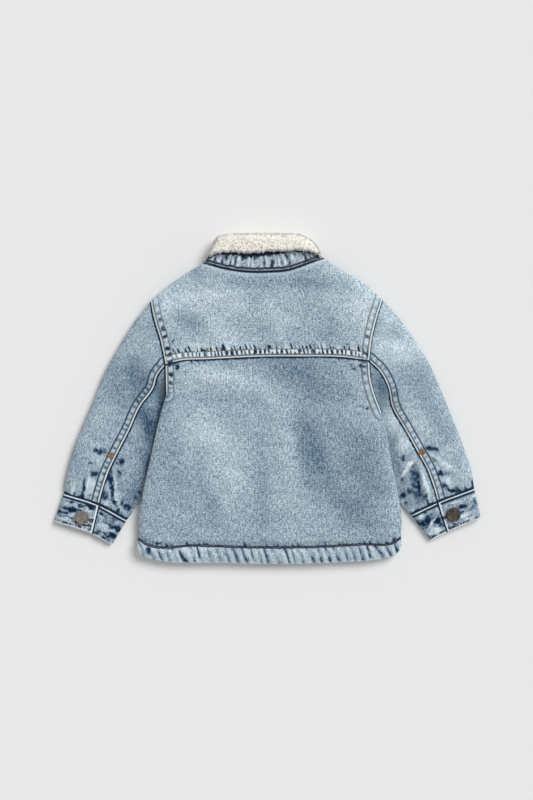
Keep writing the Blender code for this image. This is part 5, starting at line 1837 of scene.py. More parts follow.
        # A painted highlight along the yoke a few millimetres below the neckline, put in as wear; then a dark
        # line at the neckline's seam.
        marks.wear(0.45 * bell((below - 3.4) / 2.2))
        marks.dye_and_shade(fade((below - 1.0) / 0.8))
        yoke = self.wall("yoke_denim", "back_yoke", yoke_plan, (height, marks), half, 0.0)
        panel_plan = coons(
            YOKE_LINE, HEM_LINE, *[joined(EDGE[side]["below"], EDGE[side]["side"]) for side in Side],
            graded(270.0, self.panel_pitch[0], ROLLED_STEPS, ROLLED_STEPS),
            graded(215.0, self.panel_pitch[1], SEWN_STEPS, SEWN_STEPS),
        )
        panel = self.wall("back_denim", "back_panel", panel_plan, self.panel_dress(panel_plan), half, 0.0)
        hem_plan, share = self.hem_plan()
        height, marks = self.hem_dress(hem_plan, share)
        mouth = self.hem_mouth * share
        height = np.maximum(height, self.body.back_inside(hem_plan) + mouth + 1.0)
        hem = self.wall("hem_denim", "back_hem", hem_plan, (height, marks), {"top": SEAM_GAP}, mouth)
        sewn = self.sew()
        laid = ((yoke, yoke_plan, sewn[:2]), (panel, panel_plan, sewn[2:3]), (hem, hem_plan, sewn[3:]))
        for piece, plan, stitches in laid:
            lay(piece, plan, ["front_left", "front_right"], stitches)

    def panel_dress(self, plan: Array) -> tuple[Array, Marks]:
        """The panel's outer surface and marks, with short puckers above the hem's stitching.

        Args:
            plan: Plan points.

        Returns:
            The height and the marks of each point.
        """
        height, marks = self.panel_surface.dress(plan)
        above = distance(plan, HEM_LINE)
        along = plan[..., 0]
        lines = Noise(51).line((along + 0.4 * above) / 2.0)
        reach = 6.0 + 3.0 * Noise(52).line(along / 7.0)
        puckers = ease((lines - 0.15) / 0.5) * fade(above / reach)
        marks.wear(0.45 * ease((-lines - 0.2) / 0.4) * fade(above / reach))
        marks.dye_and_shade(0.85 * puckers)
        marks.dye_and_shade(0.7 * bell(above / 0.8))
        return height - 0.3 * puckers - 0.4 * bell(above / 1.2), marks

    def panel_height(self, plan: Array) -> Array:
        """The panel's height over plan points."""
        return self.panel_dress(plan)[0]

    def sew(self) -> list[Object]:
        """The stitches of the back: the yoke's and its armholes', the panel's armholes', the hem's.

        Returns:
            The pieces of thread, in that order.
        """
        thread = Thread(width=1.25)
        fine = Thread(pitch=2.5, length=2.2, width=1.6, rise=0.55)
        seam = FelledSeam(0)
        rows = (seam.near_row, seam.far_row)
        yoke = [
            thread.row(trimmed(shifted(YOKE_LINE, away), 1.0, 1.0), self.yoke_surface.height, 61 + k)
            for k, away in enumerate(rows)
        ]
        above, below = [], []
        for side in Side:
            for k, away in enumerate(rows):
                line = shifted(EDGE[side]["above"], TOWARDS_BODY[side] * away)
                above.append(thread.row(trimmed(line, 4.0, 10.0), self.yoke_surface.height, 63 + k))
                line = shifted(EDGE[side]["below"], TOWARDS_BODY[side] * away)
                below.append(thread.row(trimmed(line, 1.0, 3.0), self.panel_height, 65 + k))
        hem = [fine.row(trimmed(shifted(HEM_LINE, -1.3), 2.0, 2.0), self.hem_height, 67)]
        return [
            thread.make("stitches_yoke", yoke, self.finishes.golden),
            thread.make("stitches_armhole_yoke", above, self.finishes.tan),
            thread.make("stitches_armhole_back", below, self.finishes.tan),
            fine.make("stitches_hem", hem, self.finishes.brown),
        ]


@dataclass
class Front:
    """One front, which lies under the back and shows only from below, with its placket."""

    side: Side
    body: LaidBody
    finishes: Finishes
    placket_half: float = 11.0
    placket_wall: float = 2.0
    placket_step: float = 0.5
    buttons_low: float = 2.1
    pitch: float = 3.0

    def plan(self) -> Array:
        """The front's plan, from its side to the closed edge of the placket.

        Returns:
            The plan's points, in rows and columns.
        """
        edge, left = EDGE[self.side], self.side is Side.LEFT
        lap = self.placket_half if left else -self.placket_half
        neck = curve([*FRONT_NECK[self.side][:-1], Mark(lap, FRONT_NECK[self.side][-1].y)])
        top = joined(edge["shoulder"][::-1], neck)
        side_line = joined(edge["above"], edge["below"], edge["side"])
        order = np.argsort(HEM_OUTLINE[:, 0])
        lap_y = level(HEM_OUTLINE[order], lap)
        hem = HEM_OUTLINE[HEM_OUTLINE[:, 0] < lap] if left else HEM_OUTLINE[HEM_OUTLINE[:, 0] > lap][::-1]
        hem = joined(hem, np.array([hem[-1], (lap, lap_y)]))
        side_line = joined(side_line, np.array([side_line[-1], hem[0]]))
        lap_line = np.array([(lap, neck[-1, 1]), (lap, lap_y)])
        even = np.linspace(0.0, 1.0, 97)
        plan = coons(top, hem, side_line, lap_line, even, even)
        strip = 2.0 * self.placket_half + self.placket_step
        lap_steps = (0.0, 1.0, 4.0, 8.0, 11.0, 14.0, 18.0, 21.0, strip, strip + self.placket_step)
        plan = respaced(plan, self.pitch, (0.0, 0.3, 1.0, 2.0, 4.0), lap_steps)
        plan = respaced(plan.transpose(1, 0, 2), self.pitch, (0.0, 0.4, 1.2, 3.0), (0.0, 0.5, 1.5, 3.0))
        return plan.transpose(1, 0, 2)

    def build(self) -> None:
        """Makes the front, whose outer face looks down."""
        plan = self.plan()
        drawn = inset(plan, SEAM_GAP, 0.0, 0.5 * SEAM_GAP, 0.0)
        under, over = self.body.under(plan), self.body.front_inside(plan)
        reach = self.placket_half + 1.5 * self.placket_step
        low = np.maximum(under, self.buttons_low)
        if self.side is Side.LEFT:
            lapped = plan[..., 0] > -reach
            over = np.where(lapped, low + self.placket_wall, over)
        else:
            lapped = plan[..., 0] < reach
            low = low + self.placket_wall + SEAM_GAP
        under = np.where(lapped, low, under)
        marks = Marks.plain(plan.shape[:-1])
        marks.tone = 0.1 * Noise(81).cloud(plan, 30.0)
        lap_line = plan[:, -1]
        for away in (2.0, 2.0 * self.placket_half - 1.0):
            marks.wear(0.35 * bell((distance(plan, lap_line) - away) / 1.2))
        marks.wear(0.6 * bell(distance(plan, plan[-1]) / 2.5))
        name = "front_denim_" + self.side.value
        cloth = ClothWall(name, solid(drawn, under), solid(drawn[FEW], over[FEW]), marks, plan)
        piece = cloth.build(self.finishes.denim, "front_" + self.side.value)
        lay(piece, plan, ["floor"])


def respaced(grid: Array, pitch: float, near: tuple, far: tuple) -> Array:
    """A grid whose rows are taken again, with a fixed count, at set distances from both their ends.

    Args:
        grid: The grid.
        pitch: The distance between two points in the middle.
        near: Distances from the start of each row.
        far: Distances from its end.

    Returns:
        The new grid.
    """
    lengths = np.linalg.norm(np.diff(grid, axis=1), axis=-1).sum(1)
    even = max(2, round((lengths.mean() - near[-1] - far[-1]) / pitch))
    even += -(even + len(near) + len(far) - 2) % 4
    rows = []
    for row, length in zip(grid, lengths):
        squeeze = min(1.0, 0.9 * length / (near[-1] + far[-1]))
        start, end = squeeze * np.array(near), length - squeeze * np.array(far)[::-1]
        middle = np.linspace(start[-1], end[0], even + 1)[1:-1]
        rows.append(spaced(row, np.concatenate([start, middle, end]) / length))
    return np.array(rows)


@dataclass
class Sleeve:
    """A sleeve of two bent panels: the outer one laps over the under one at the felled seam."""

    side: Side
    form: LaidSleeve
    finishes: Finishes
    fold_wall: float = 2.2
    pitch: float = 1.05
    floor_pitch: float = 3.5

    def __post_init__(self) -> None:
        """Works out the upper surfaces of both panels."""
        left = self.side is Side.LEFT
        seed, dark, line = (200, 0.5, (1.0, 2.0)) if left else (300, 0.4, (0.7, 1.5))
        edge, patches, pressed = EDGE[self.side], SLEEVE_PATCHES[self.side], PRESSED[self.side]
        end = CUFF_SEAM[self.side]
        armhole = (ARMHOLE[self.side], TuckedEdge(seed + 1, *line, hatch=0.5, hatch_reach=4.0, shade=0.05))
        cuff = (end, TuckedEdge(seed + 2, dark=1.0, width=3.4, hatch=0.8, hatch_reach=7.0))
        fell = FelledSeam(
            seed + 3, near_row=2.3, far_row=8.6, pitch=7.0, dyed=dark, worn=0.45, edge_width=1.4, groove=0.85
        )
        tucked = (edge["seam"], TuckedEdge(seed + 4, dark=1.0, shade=0.08, shade_reach=5.0))
        bare, laps, tucks = self.form.top, [(edge["seam"], fell)], [armhole, cuff]
        self.outer = ClothSurface(bare, seed, patches, pressed, laps, tucks, end)
        self.under = ClothSurface(bare, seed + 10, patches, pressed, [], [*tucks, tucked], end)

    def panel(self, kind: str, edges: tuple, fold_first: bool, surface: ClothSurface) -> tuple:
        """One bent panel: its upper layer, its rolled fold and its lower layer.

        Args:
            kind: Which panel it is.
            edges: The plan's top, bottom, left and right edges.
            fold_first: Whether the fold is at the left edge.
            surface: The upper layer's surface.

        Returns:
            The piece and the places of its points on the flat cloth.
        """
        width = np.linalg.norm(edges[2][len(edges[2]) // 2] - edges[3][len(edges[3]) // 2])
        length = run(edges[2])[-1]
        down = graded(length, self.pitch, SEWN_STEPS, SEWN_STEPS)
        fine = graded(width, self.pitch, ROLLED_STEPS, SEWN_STEPS)
        coarse = graded(width, self.floor_pitch, ROLLED_STEPS, (0.0, 1.5))
        layers = []
        for across in (fine, coarse):
            across = across if fold_first else 1.0 - across[::-1]
            gaps = dict.fromkeys(("top", "bottom", "right" if fold_first else "left"), 0.5 * SEAM_GAP)
            plan = inset(coons(*edges, across, down), **gaps)
            layers.append(plan if fold_first else plan[:, ::-1])
        upper, lower = layers
        height, marks = surface.dress(upper)
        fold = np.repeat(upper[:, :1], 3, axis=1)
        low = self.form.under(lower)
        between = height[:, :1] + (low[:, :1] - height[:, :1]) * np.array([0.25, 0.5, 0.75])
        rest = (solid(fold, between), solid(lower, low))
        outer = abreast(solid(upper, height)[:, ::-1], *rest)
        bare = abreast(solid(upper, self.form.top(upper))[:, ::-1], *rest)
        columns = height.shape[1]
        below = Marks.plain((len(outer), outer.shape[1] - columns))
        below.tone = marks.tone[:, :1] * np.exp(-np.arange(below.tone.shape[1]) / 4.0)
        turned = Marks(marks.worn[:, ::-1], marks.indigo[:, ::-1], marks.tone[:, ::-1])
        inside, inside_low = inset(upper, left=self.fold_wall), inset(lower, left=self.fold_wall)
        inner_plan = abreast(inside[:, ::-1], np.repeat(inside[:, :1], 3, axis=1), inside_low)
        layer = np.concatenate([np.ones(columns), [0.5, 0.0, -0.5], -np.ones(lower.shape[1])])
        few = inner_plan[FEW]
        middle = self.form.middle(few) + 0.5 * SEAM_GAP * layer[FEW[0]]
        places = cloth_places(bare)
        name = f"sleeve_{kind}_denim_{self.side.value}"
        cloth = ClothWall(name, outer, solid(few, middle), Marks.joined([turned, below], 1), places)
        return cloth.build(self.finishes.denim, f"sleeve_{kind}_{self.side.value}"), places

    def build(self) -> None:
        """Makes both panels, their stitches and the bartack over the cuff's slit."""
        edge, end = EDGE[self.side], CUFF_SEAM[self.side]
        parts = np.argmin(np.linalg.norm(end - edge["seam"][-1], axis=1))
        outer_edges = (edge["above"], end[: parts + 1], edge["outer"], edge["seam"])
        under_edges = (edge["below"], end[parts:], edge["seam"], edge["inner"])
        outer = self.panel("outer", outer_edges, True, self.outer)
        under = self.panel("under", under_edges, False, self.under)
        lay(*outer, ["floor"], self.sew())
        lay(*under, ["floor"])

    def sew(self) -> list[Object]:
        """The two rows of stitches beside the felled seam, and the bartack across it.

        Returns:
            The pieces of thread, in that order.
        """
        thread = Thread()
        seam = self.outer.laps[0][1]
        outward = -TOWARDS_BODY[self.side]
        lines = [shifted(EDGE[self.side]["seam"], outward * away) for away in (seam.near_row, seam.far_row)]
        near, far = [
            thread.row(trimmed(row, 3.0, 3.0), self.outer.height, 71 + k) for k, row in enumerate(lines)
        ]
        close, name = Thread(width=0.95, rise=0.55), self.side.value
        bar = close.tack(BARTACK[self.side], BARTACK_ANGLE[self.side], *BARTACK_SIZE, self.outer.height)
        return [
            thread.make("stitches_near_" + name, [near], self.finishes.tan),
            thread.make("stitches_far_" + name, [far], self.finishes.brown),
            close.make("bartack_" + name, [bar], self.finishes.orange),
        ]


@dataclass
class Cuff:
    """A cuff: one band from its hidden end, round both folds, to its lapped end, with its button."""

    side: Side
    finishes: Finishes
    height: float = 8.6
    wall: float = 2.0
    edge_low: float = 2.2
    roll_reach: float = 8.0
    underlap: float = 0.22
    width: float = 76.0
    lap_drop: float = 0.6
    fold_wall: float = 2.2
    button_radius: float = 8.0
    stitch_down: float = 2.9
    stitch_up: float = 3.4
    stitch_in: float = 4.3
    over_columns: int = 47
    hole_at: tuple = (10.0, 12.6)
    hole_half: float = 0.9
    hole_side: tuple = (5.5, 1.7)
    hole_bar: tuple = (4.6, 1.8)

    def __post_init__(self) -> None:
        """Works out where the lapped end lies, as a share of the width at the top and at the mouth."""
        ends = np.array([SLEEVE[self.side][-1], CUFF_END[self.side]]).reshape(2, 3, 2)
        self.outer_line, self.lap_line, self.inner_line = ends.transpose(1, 0, 2)
        across = np.linalg.norm(self.inner_line - self.outer_line, axis=1)
        self.laps = np.linalg.norm(self.lap_line - self.outer_line, axis=1) / across
        self.lap = float(self.laps[0])

    def rise(self, shares: Array) -> Array:
        """The share of full height across the cuff, rolled at both folds."""
        return roll(np.minimum(shares, 1.0 - shares) * self.width / self.roll_reach)

    def over_height(self, shares: Array) -> Array:
        """The height of the lapped part, at shares of the width."""
        edge = self.edge_low + self.wall
        return edge + (self.height - edge) * np.where(shares < 0.3, self.rise(shares), 1.0)

    def under_height(self, shares: Array) -> Array:
        """The height of the part that the lapped end lies on, which rises to the full height past it.

        Args:
            shares: Shares of the cuff's width.

        Returns:
            The height at each share.
        """
        edge, lapped = self.edge_low + self.wall, self.height - self.wall - SEAM_GAP
        full = lapped + (self.height - self.lap_drop - lapped) * ease((shares - self.lap - 0.01) / 0.06)
        return edge + (full - edge) * np.where(shares > 0.7, self.rise(shares), 1.0)

    def at(self, shares: Array, down: Array) -> Array:
        """The plan grid at shares of the width and of the depth; the lapped end slants with the depth.

        Args:
            shares: Shares of the width.
            down: Shares of the depth.

        Returns:
            The plan's points, in rows and columns.
        """
        seam, mouth, even = CUFF_SEAM[self.side], CUFF_MOUTH[self.side], np.linspace(0.0, 1.0, 97)
        whole = coons(seam, mouth, self.outer_line, self.inner_line, even, down)
        laps = self.lap + (self.laps[1] - self.lap) * down
        knots = (0.0, self.lap, 1.0)
        grid = [spaced(row, np.interp(shares, knots, (0.0, lap, 1.0))) for row, lap in zip(whole, laps)]
        return inset(np.array(grid), top=0.5 * SEAM_GAP)

    def relief(self, plan: Array, lapped: bool) -> tuple[Array, Marks]:
        """The small form and the marks of one of the two upper parts.

        Args:
            plan: Plan points.
            lapped: Whether they are on the lapped part, and not on the one under it.

        Returns:
            The height above the bare part, and the marks.
        """
        seed = (400 if self.side is Side.LEFT else 500) + (5 if lapped else 0)
        top, mouth = distance(plan, CUFF_SEAM[self.side]), distance(plan, CUFF_MOUTH[self.side])
        along = beside(plan, CUFF_SEAM[self.side])[0]
        marks = Marks.plain(plan.shape[:-1])
        marks.tone = (0.13 if self.side is Side.LEFT else 0.04) + 0.06 * Noise(seed).cloud(plan, 20.0)
        blots = Noise(seed + 1).cloud(np.stack([along / 3.4, top], axis=-1), 3.4, 3)
        near_edges = np.maximum(bell((top - 5.0) / 4.0), bell((mouth - 6.0) / 4.0))
        marks.dye_and_shade(0.9 * ease((blots * (0.6 + 0.5 * near_edges) - 0.17) / 0.3))
        marks.wear(0.85 * ease((-blots * (0.6 + 0.5 * near_edges) - 0.12) / 0.28))
        marks.press(plan, CUFF_PRESSED[self.side], seed)
        height = pressed_relief(plan, CUFF_PRESSED[self.side], 0.75) - 0.35 * np.clip(blots, -0.6, 0.6)
        height = height - 0.6 * (1.0 - roll((top + 0.1) / 1.2)) - 0.6 * (1.0 - roll((mouth + 0.1) / 1.4))
        height = height - 0.22 * bell((top - self.stitch_down) / 0.8)
        height = height - 0.2 * bell((mouth - self.stitch_up) / 0.8)
        rub = 0.9 + 0.1 * Noise(seed + 2).line(along / 3.0)
        marks.dye_and_shade(0.95 * bell((top - self.stitch_down + 0.1) / 1.4))
        marks.wear(rub * ease((1.6 - top) / 0.6))
        beads = ease((Noise(seed + 3).line(along / 1.7) + 0.1) / 0.5)
        marks.dye_and_shade(0.8 * beads * bell((mouth - 2.6) / 1.5))
        marks.wear(rub * ease((1.5 - mouth) / 0.7))
        end = distance(plan, self.lap_line)
        if lapped:
            marks.wear(rub * ease((2.2 - end) / 0.7))
            height = height - 0.6 * (1.0 - roll((end + 0.1) / 1.2))
            height = height - 0.15 * bell((end - self.stitch_in) / 0.8)
        else:
            # On the part under the lapped end, the cloth beside the end darkens: partly unfaded indigo,
            # partly painted shadow of the end's edge.
            marks.dye_and_shade(ease((2.2 - end) / 1.2))
        return height, marks

    def surface_height(self, plan: Array) -> Array:
        """The lapped part's height over plan points away from its folds."""
        return self.height + self.relief(plan, True)[0]

    def under_surface_height(self, plan: Array) -> Array:
        """The height of the part under the lapped end, over plan points away from its folds."""
        return self.height - self.lap_drop + self.relief(plan, False)[0]

    def build(self) -> None:
        """Makes the band, its stitches and its button."""
        down = graded(33.5, 0.8, (0.0, 0.25, 0.7, 1.3), (0.0, 0.25, 0.7, 1.4))
        rolled = np.array([0.0, 0.005, 0.015, 0.03, 0.05, 0.075])
        hidden = np.linspace(self.lap - self.underlap, self.lap - 0.02, 5)
        under = np.concatenate([hidden, np.linspace(self.lap, 0.9, 40), 1.0 - rolled[::-1]])
        floor = np.array([0.985, 0.95, 0.9, 0.8, 0.65, 0.5, 0.35, 0.2, 0.1, 0.05, 0.015])
        steps = len(under) + len(floor) + len(rolled) + self.over_columns - 1
        count = self.over_columns + -steps % INNER_STEP
        over = np.concatenate([rolled, np.linspace(0.1, self.lap - 0.003, count)])
        parts = [self.at(shares, down) for shares in (under, floor, over)]
        under_form, under_marks = self.relief(parts[0], False)
        over_form, over_marks = self.relief(parts[2], True)
        under_top, over_top = self.under_height(under), self.over_height(over)
        under_form = under_form * np.where(under > self.lap + 0.02, 1.0, 0.0)
        floor_low = self.edge_low * (1.0 - self.rise(floor))
        outer = abreast(*map(solid, parts, (under_top + under_form, floor_low, over_top + over_form)))
        bare = abreast(*map(solid, parts, (under_top, floor_low, over_top)))
        plain = Marks.plain(parts[1].shape[:2])
        marks = Marks.joined([under_marks, plain, over_marks], 1)
        tuck = self.fold_wall / self.width
        drawn = self.lap + (under - self.lap) * (1.0 - tuck - self.lap) / (1.0 - self.lap)
        under_in = np.where(under > self.lap, drawn, under)
        over_in = np.where(over < self.lap - 0.15, tuck + over * (1.0 - tuck / (self.lap - 0.15)), over)
        floor_in = 0.5 + (floor - 0.5) * (1.0 - 2.0 * tuck)
        under_low, over_low = under_top - self.wall, over_top - self.wall
        under_low = np.where(under > 0.92, 0.5 * (self.wall + under_low), under_low)
        over_low = np.where(over < 0.04, 0.5 * (self.wall + over_low), over_low)
        shares = np.concatenate([under_in, floor_in, over_in])
        low = np.concatenate([under_low, np.full(len(floor), self.wall), over_low])
        few = self.at(shares[FEW[0]], down)[FEW[0]]
        name, places = self.side.value, cloth_places(bare)
        cloth = ClothWall("cuff_denim_" + name, outer, solid(few, low[FEW[0]]), marks, places)
        piece = cloth.build(self.finishes.dark_denim, "cuff_" + name, "denim_dark")
        lay(piece, places, ["floor"], self.sew())
        self.build_button()

    def sew(self) -> list[Object]:
        """The rows along the cuff's top, mouth and lapped end, and the buttonhole.

        Returns:
            The pieces of thread, in that order.
        """
        seam, mouth, name = CUFF_SEAM[self.side], CUFF_MOUTH[self.side], self.side.value
        inward = TOWARDS_BODY[self.side]
        lap = np.linspace(*self.lap_line, 12)
        fine = Thread(pitch=2.9, length=2.55, width=0.8, rise=0.4)

        def both(line: Array, away: float, share: float, seed: int) -> list[Array]:
            """A row on either side of the lapped end, in that order: lapped part, part under it.

            Args:
                line: The cuff's edge.
                away: How far inside it the row lies.
                share: The share of the width at which the lapped end lies.
                seed: The seed of the stitches.

            Returns:
                The points of both groups of stitches.
            """
            row = shifted(line, away)
            first = spaced(row, np.linspace(0.04, share - 0.02, 40))
            second = spaced(row, np.linspace(share + 0.03, 0.95, 40))
            first = fine.row(first, self.surface_height, seed)
            return [first, fine.row(second, self.under_surface_height, seed + 1)]

        top = both(seam, -inward * self.stitch_down, self.laps[0], 81)
        bottom = both(mouth, inward * self.stitch_up, self.laps[1], 83)
        end = fine.row(trimmed(shifted(lap, -inward * self.stitch_in), 3.0, 4.0), self.surface_height, 85)
        button = np.array(CUFF_BUTTON[self.side])
        way = unit(self.lap_line[0] - self.outer_line[0])
        close = Thread(width=0.6, rise=0.35)
        angle = math.degrees(math.atan2(way[1], way[0]))
        hole = []
        for lift in (-self.hole_half, self.hole_half):
            centre = button + self.hole_at[0] * way + lift * np.array([-way[1], way[0]])
            hole.append(close.tack(centre, angle, *self.hole_side, self.surface_height))
        centre = button + self.hole_at[1] * way
        hole.append(close.tack(centre, angle + 90.0, *self.hole_bar, self.surface_height))
        return [
            fine.make("stitches_cuff_top_" + name, top, self.finishes.navy),
            fine.make("stitches_cuff_edge_" + name, [*bottom, end], self.finishes.tan),
            close.make("buttonhole_" + name, hole, self.finishes.navy),
        ]

    def build_button(self) -> None:
        """A shank button: a dished head with a raised ring, a rim and a short shank."""
        x, y = CUFF_BUTTON[self.side]
        radius, shank, top = self.button_radius, 1.5, 4.1
        head = rows(Mark, (
            0, 0.3,  2, 0.31,  4, 0.33,  4.6, 0.33,  4.9, 0.22,  5.3, 0.2,  5.6, 0.33,  6.3, 0.33,
            6.7, 0.1,  7.1, 0,  7.5, 0.08,  7.85, 0.4,  radius, 1,  radius - 0.15, 1.6,
        ))
        profile = [(r, top - down) for r, down in head]
        profile += [(radius - 0.6, shank), (3.4, shank), (3.4, 0.0), (0.0, 0.0)]
        name = "cuff_shank_button_" + self.side.value
        finish = self.finishes.pewter if self.side is Side.LEFT else self.finishes.gunmetal
        piece = turned_piece(name, profile, (x, y, self.height + SEAM_GAP), finish, 48)
        declare("cuff_button_" + self.side.value)


def turned_piece(name: str, profile: list, centre: tuple, finish: Material, sides: int) -> Object:
    """A piece turned about an upright axis: each profile point's radius goes round in a circle.

    Args:
        name: The piece's name.
        profile: Radius and height of each point, from the top of the axis down the outside.
        centre: Where the profile's zero lies.
        finish: The piece's material.
        sides: The count of points round it.

    Returns:
        The piece.
    """
    r, z = np.array(profile).T
    turn = around(sides)
    ring = np.stack([np.cos(turn), np.sin(turn)], axis=-1)
    points = solid(r[:, None, None] * ring, z[:, None]) + np.array(centre)
    data = mesh(name, points, [quads(len(r), sides, closed=True)], 40.0, weld=True)
    return show(data, finish)


@dataclass
class FrontButtons:
    """The row of shank buttons down the placket, face down on the floor."""

    body: LaidBody
    finishes: Finishes
    count: int = 5
    top_y: float = 94.0
    pitch: float = 60.0
    radius: float = 8.0
    height: float = 1.6
    shank_radius: float = 3.4
    shank_least: float = 0.2

    def build(self) -> None:
        """Makes each button, with its shank up against the placket."""
        for number in range(self.count):
            y = self.top_y - self.pitch * number
            under = float(self.body.under(np.array([[0.0, y]]))[0])
            placket = max(under - SEAM_GAP, self.height + self.shank_least)
            r, h = self.radius, self.height
            profile = [
                (0.0, placket), (self.shank_radius, placket), (self.shank_radius, h), (r - 0.5, h),
                (r - 0.12, h - 0.15), (r, h - 0.5), (r, 0.4), (r - 0.12, 0.12), (r - 0.5, 0.0),
                (r - 1.1, 0.05), (r - 1.6, 0.35), (2.4, 0.3), (1.4, 0.15), (0.0, 0.1),
            ]
            name = f"front_shank_button_{number + 1}"
            piece = turned_piece(name, profile, (0.0, y, 0.0), self.finishes.gunmetal, 40)
            declare(f"front_button_{number + 1}")


@dataclass(frozen=True)
class Pile:
    """Curled pile: round bumps on its backing, and curls of yarn that stand on them."""

    cell: float = 1.9
    height: float = 1.0
    seed: int = 71
    curl_radius: float = 0.62
    yarn: float = 0.27
    segments: int = 7
    sides: int = 3

    def bumps(self, places: Array) -> Array:
        """The height of the bumps, 0 to 1: one less the squared distance from the nearest seeded point.

        Each lattice cell holds one point, moved at random, and the nine cells round a place are tried.

        Args:
            places: Where on the backing.

        Returns:
            The bump height of each place.
        """
        moved = np.random.default_rng(self.seed).uniform(0.0, 1.0, (128, 128, 2))
        at = places / self.cell
        cell = np.floor(at).astype(int)
        near = np.full(places.shape[:-1], 9.0)
        for i in (-1, 0, 1):
            for j in (-1, 0, 1):
                other = cell + (i, j)
                point = other + moved[other[..., 0] % 128, other[..., 1] % 128]
                near = np.minimum(near, ((at - point) ** 2).sum(-1))
        return np.clip(1.0 - near, 0.0, 1.0)

    def curls(self, roots: Array, normals: Array) -> tuple[Array, list[Array]]:
        """Open rings of yarn that stand on a surface.

        A curl is a circle's arc about an axis that leans away from the normal, and thins to its ends.

        Args:
            roots: Where each curl's middle lies.
            normals: The surface's normal there.

        Returns:
            The points, a set for each curl, and the faces of one curl.
        """
        count = len(roots)
        rng = np.random.default_rng(self.seed + 1)
        axis = unit(normals + 0.75 * rng.normal(size=(count, 3)))
        one = unit(np.cross(axis, rng.normal(size=(count, 3))))
        two = np.cross(axis, one)
        sweep = rng.uniform(3.6, 5.6, count)[:, None] * np.linspace(0.0, 1.0, self.segments + 1)
        radius = self.curl_radius * rng.uniform(0.7, 1.35, count)[:, None, None]
        out = np.cos(sweep)[..., None] * one[:, None] + np.sin(sweep)[..., None] * two[:, None]
        climb = rng.uniform(0.3, 1.0, count)[:, None, None]
        climb = np.linspace(-0.5, 0.5, self.segments + 1)[:, None] * climb
        middle = roots[:, None] + radius * out + climb * axis[:, None]
        turn = around(self.sides)[None, None, :, None]
        thick = self.yarn * (0.55 + 0.45 * np.sin(np.pi * np.linspace(0.08, 0.92, self.segments + 1)))
        ring = np.cos(turn) * out[:, :, None] + np.sin(turn) * axis[:, None, None]
        points = middle[:, :, None] + thick[None, :, None, None] * ring
        last = self.segments * self.sides
        caps = [np.arange(self.sides)[None], last + np.arange(self.sides)[None]]
        faces = [quads(self.segments + 1, self.sides, closed=True), *caps]
        return points.reshape(count, -1, 3), faces

    def make_curls(self, name: str, roots: Array, normals: Array, finish: Material) -> Object:
        """One object for many curls, all marked as the top of the pile.

        Args:
            name: The piece's name.
            roots: The curls' places.
            normals: The pile's direction at each of them.
            finish: The finish of the pile.

        Returns:
            The object.
        """
        points, faces = self.curls(roots, normals)
        data = mesh(name, points, copies(faces, *points.shape[:2]), 180.0)
        spread(data, points[..., :2], np.ones((*points.shape[:2], 4)))
        return show(data, finish)


def grid_normals(grid: Array) -> Array:
    """The unit normals of a grid: the cross product of its steps down and across, turned outwards.

    Args:
        grid: The grid's points.

    Returns:
        The direction at each point.
    """
    down, across = np.gradient(grid, axis=0), np.gradient(grid, axis=1)
    normal = np.cross(across, down)
    return normal / np.maximum(np.linalg.norm(normal, axis=-1, keepdims=True), 1e-9)


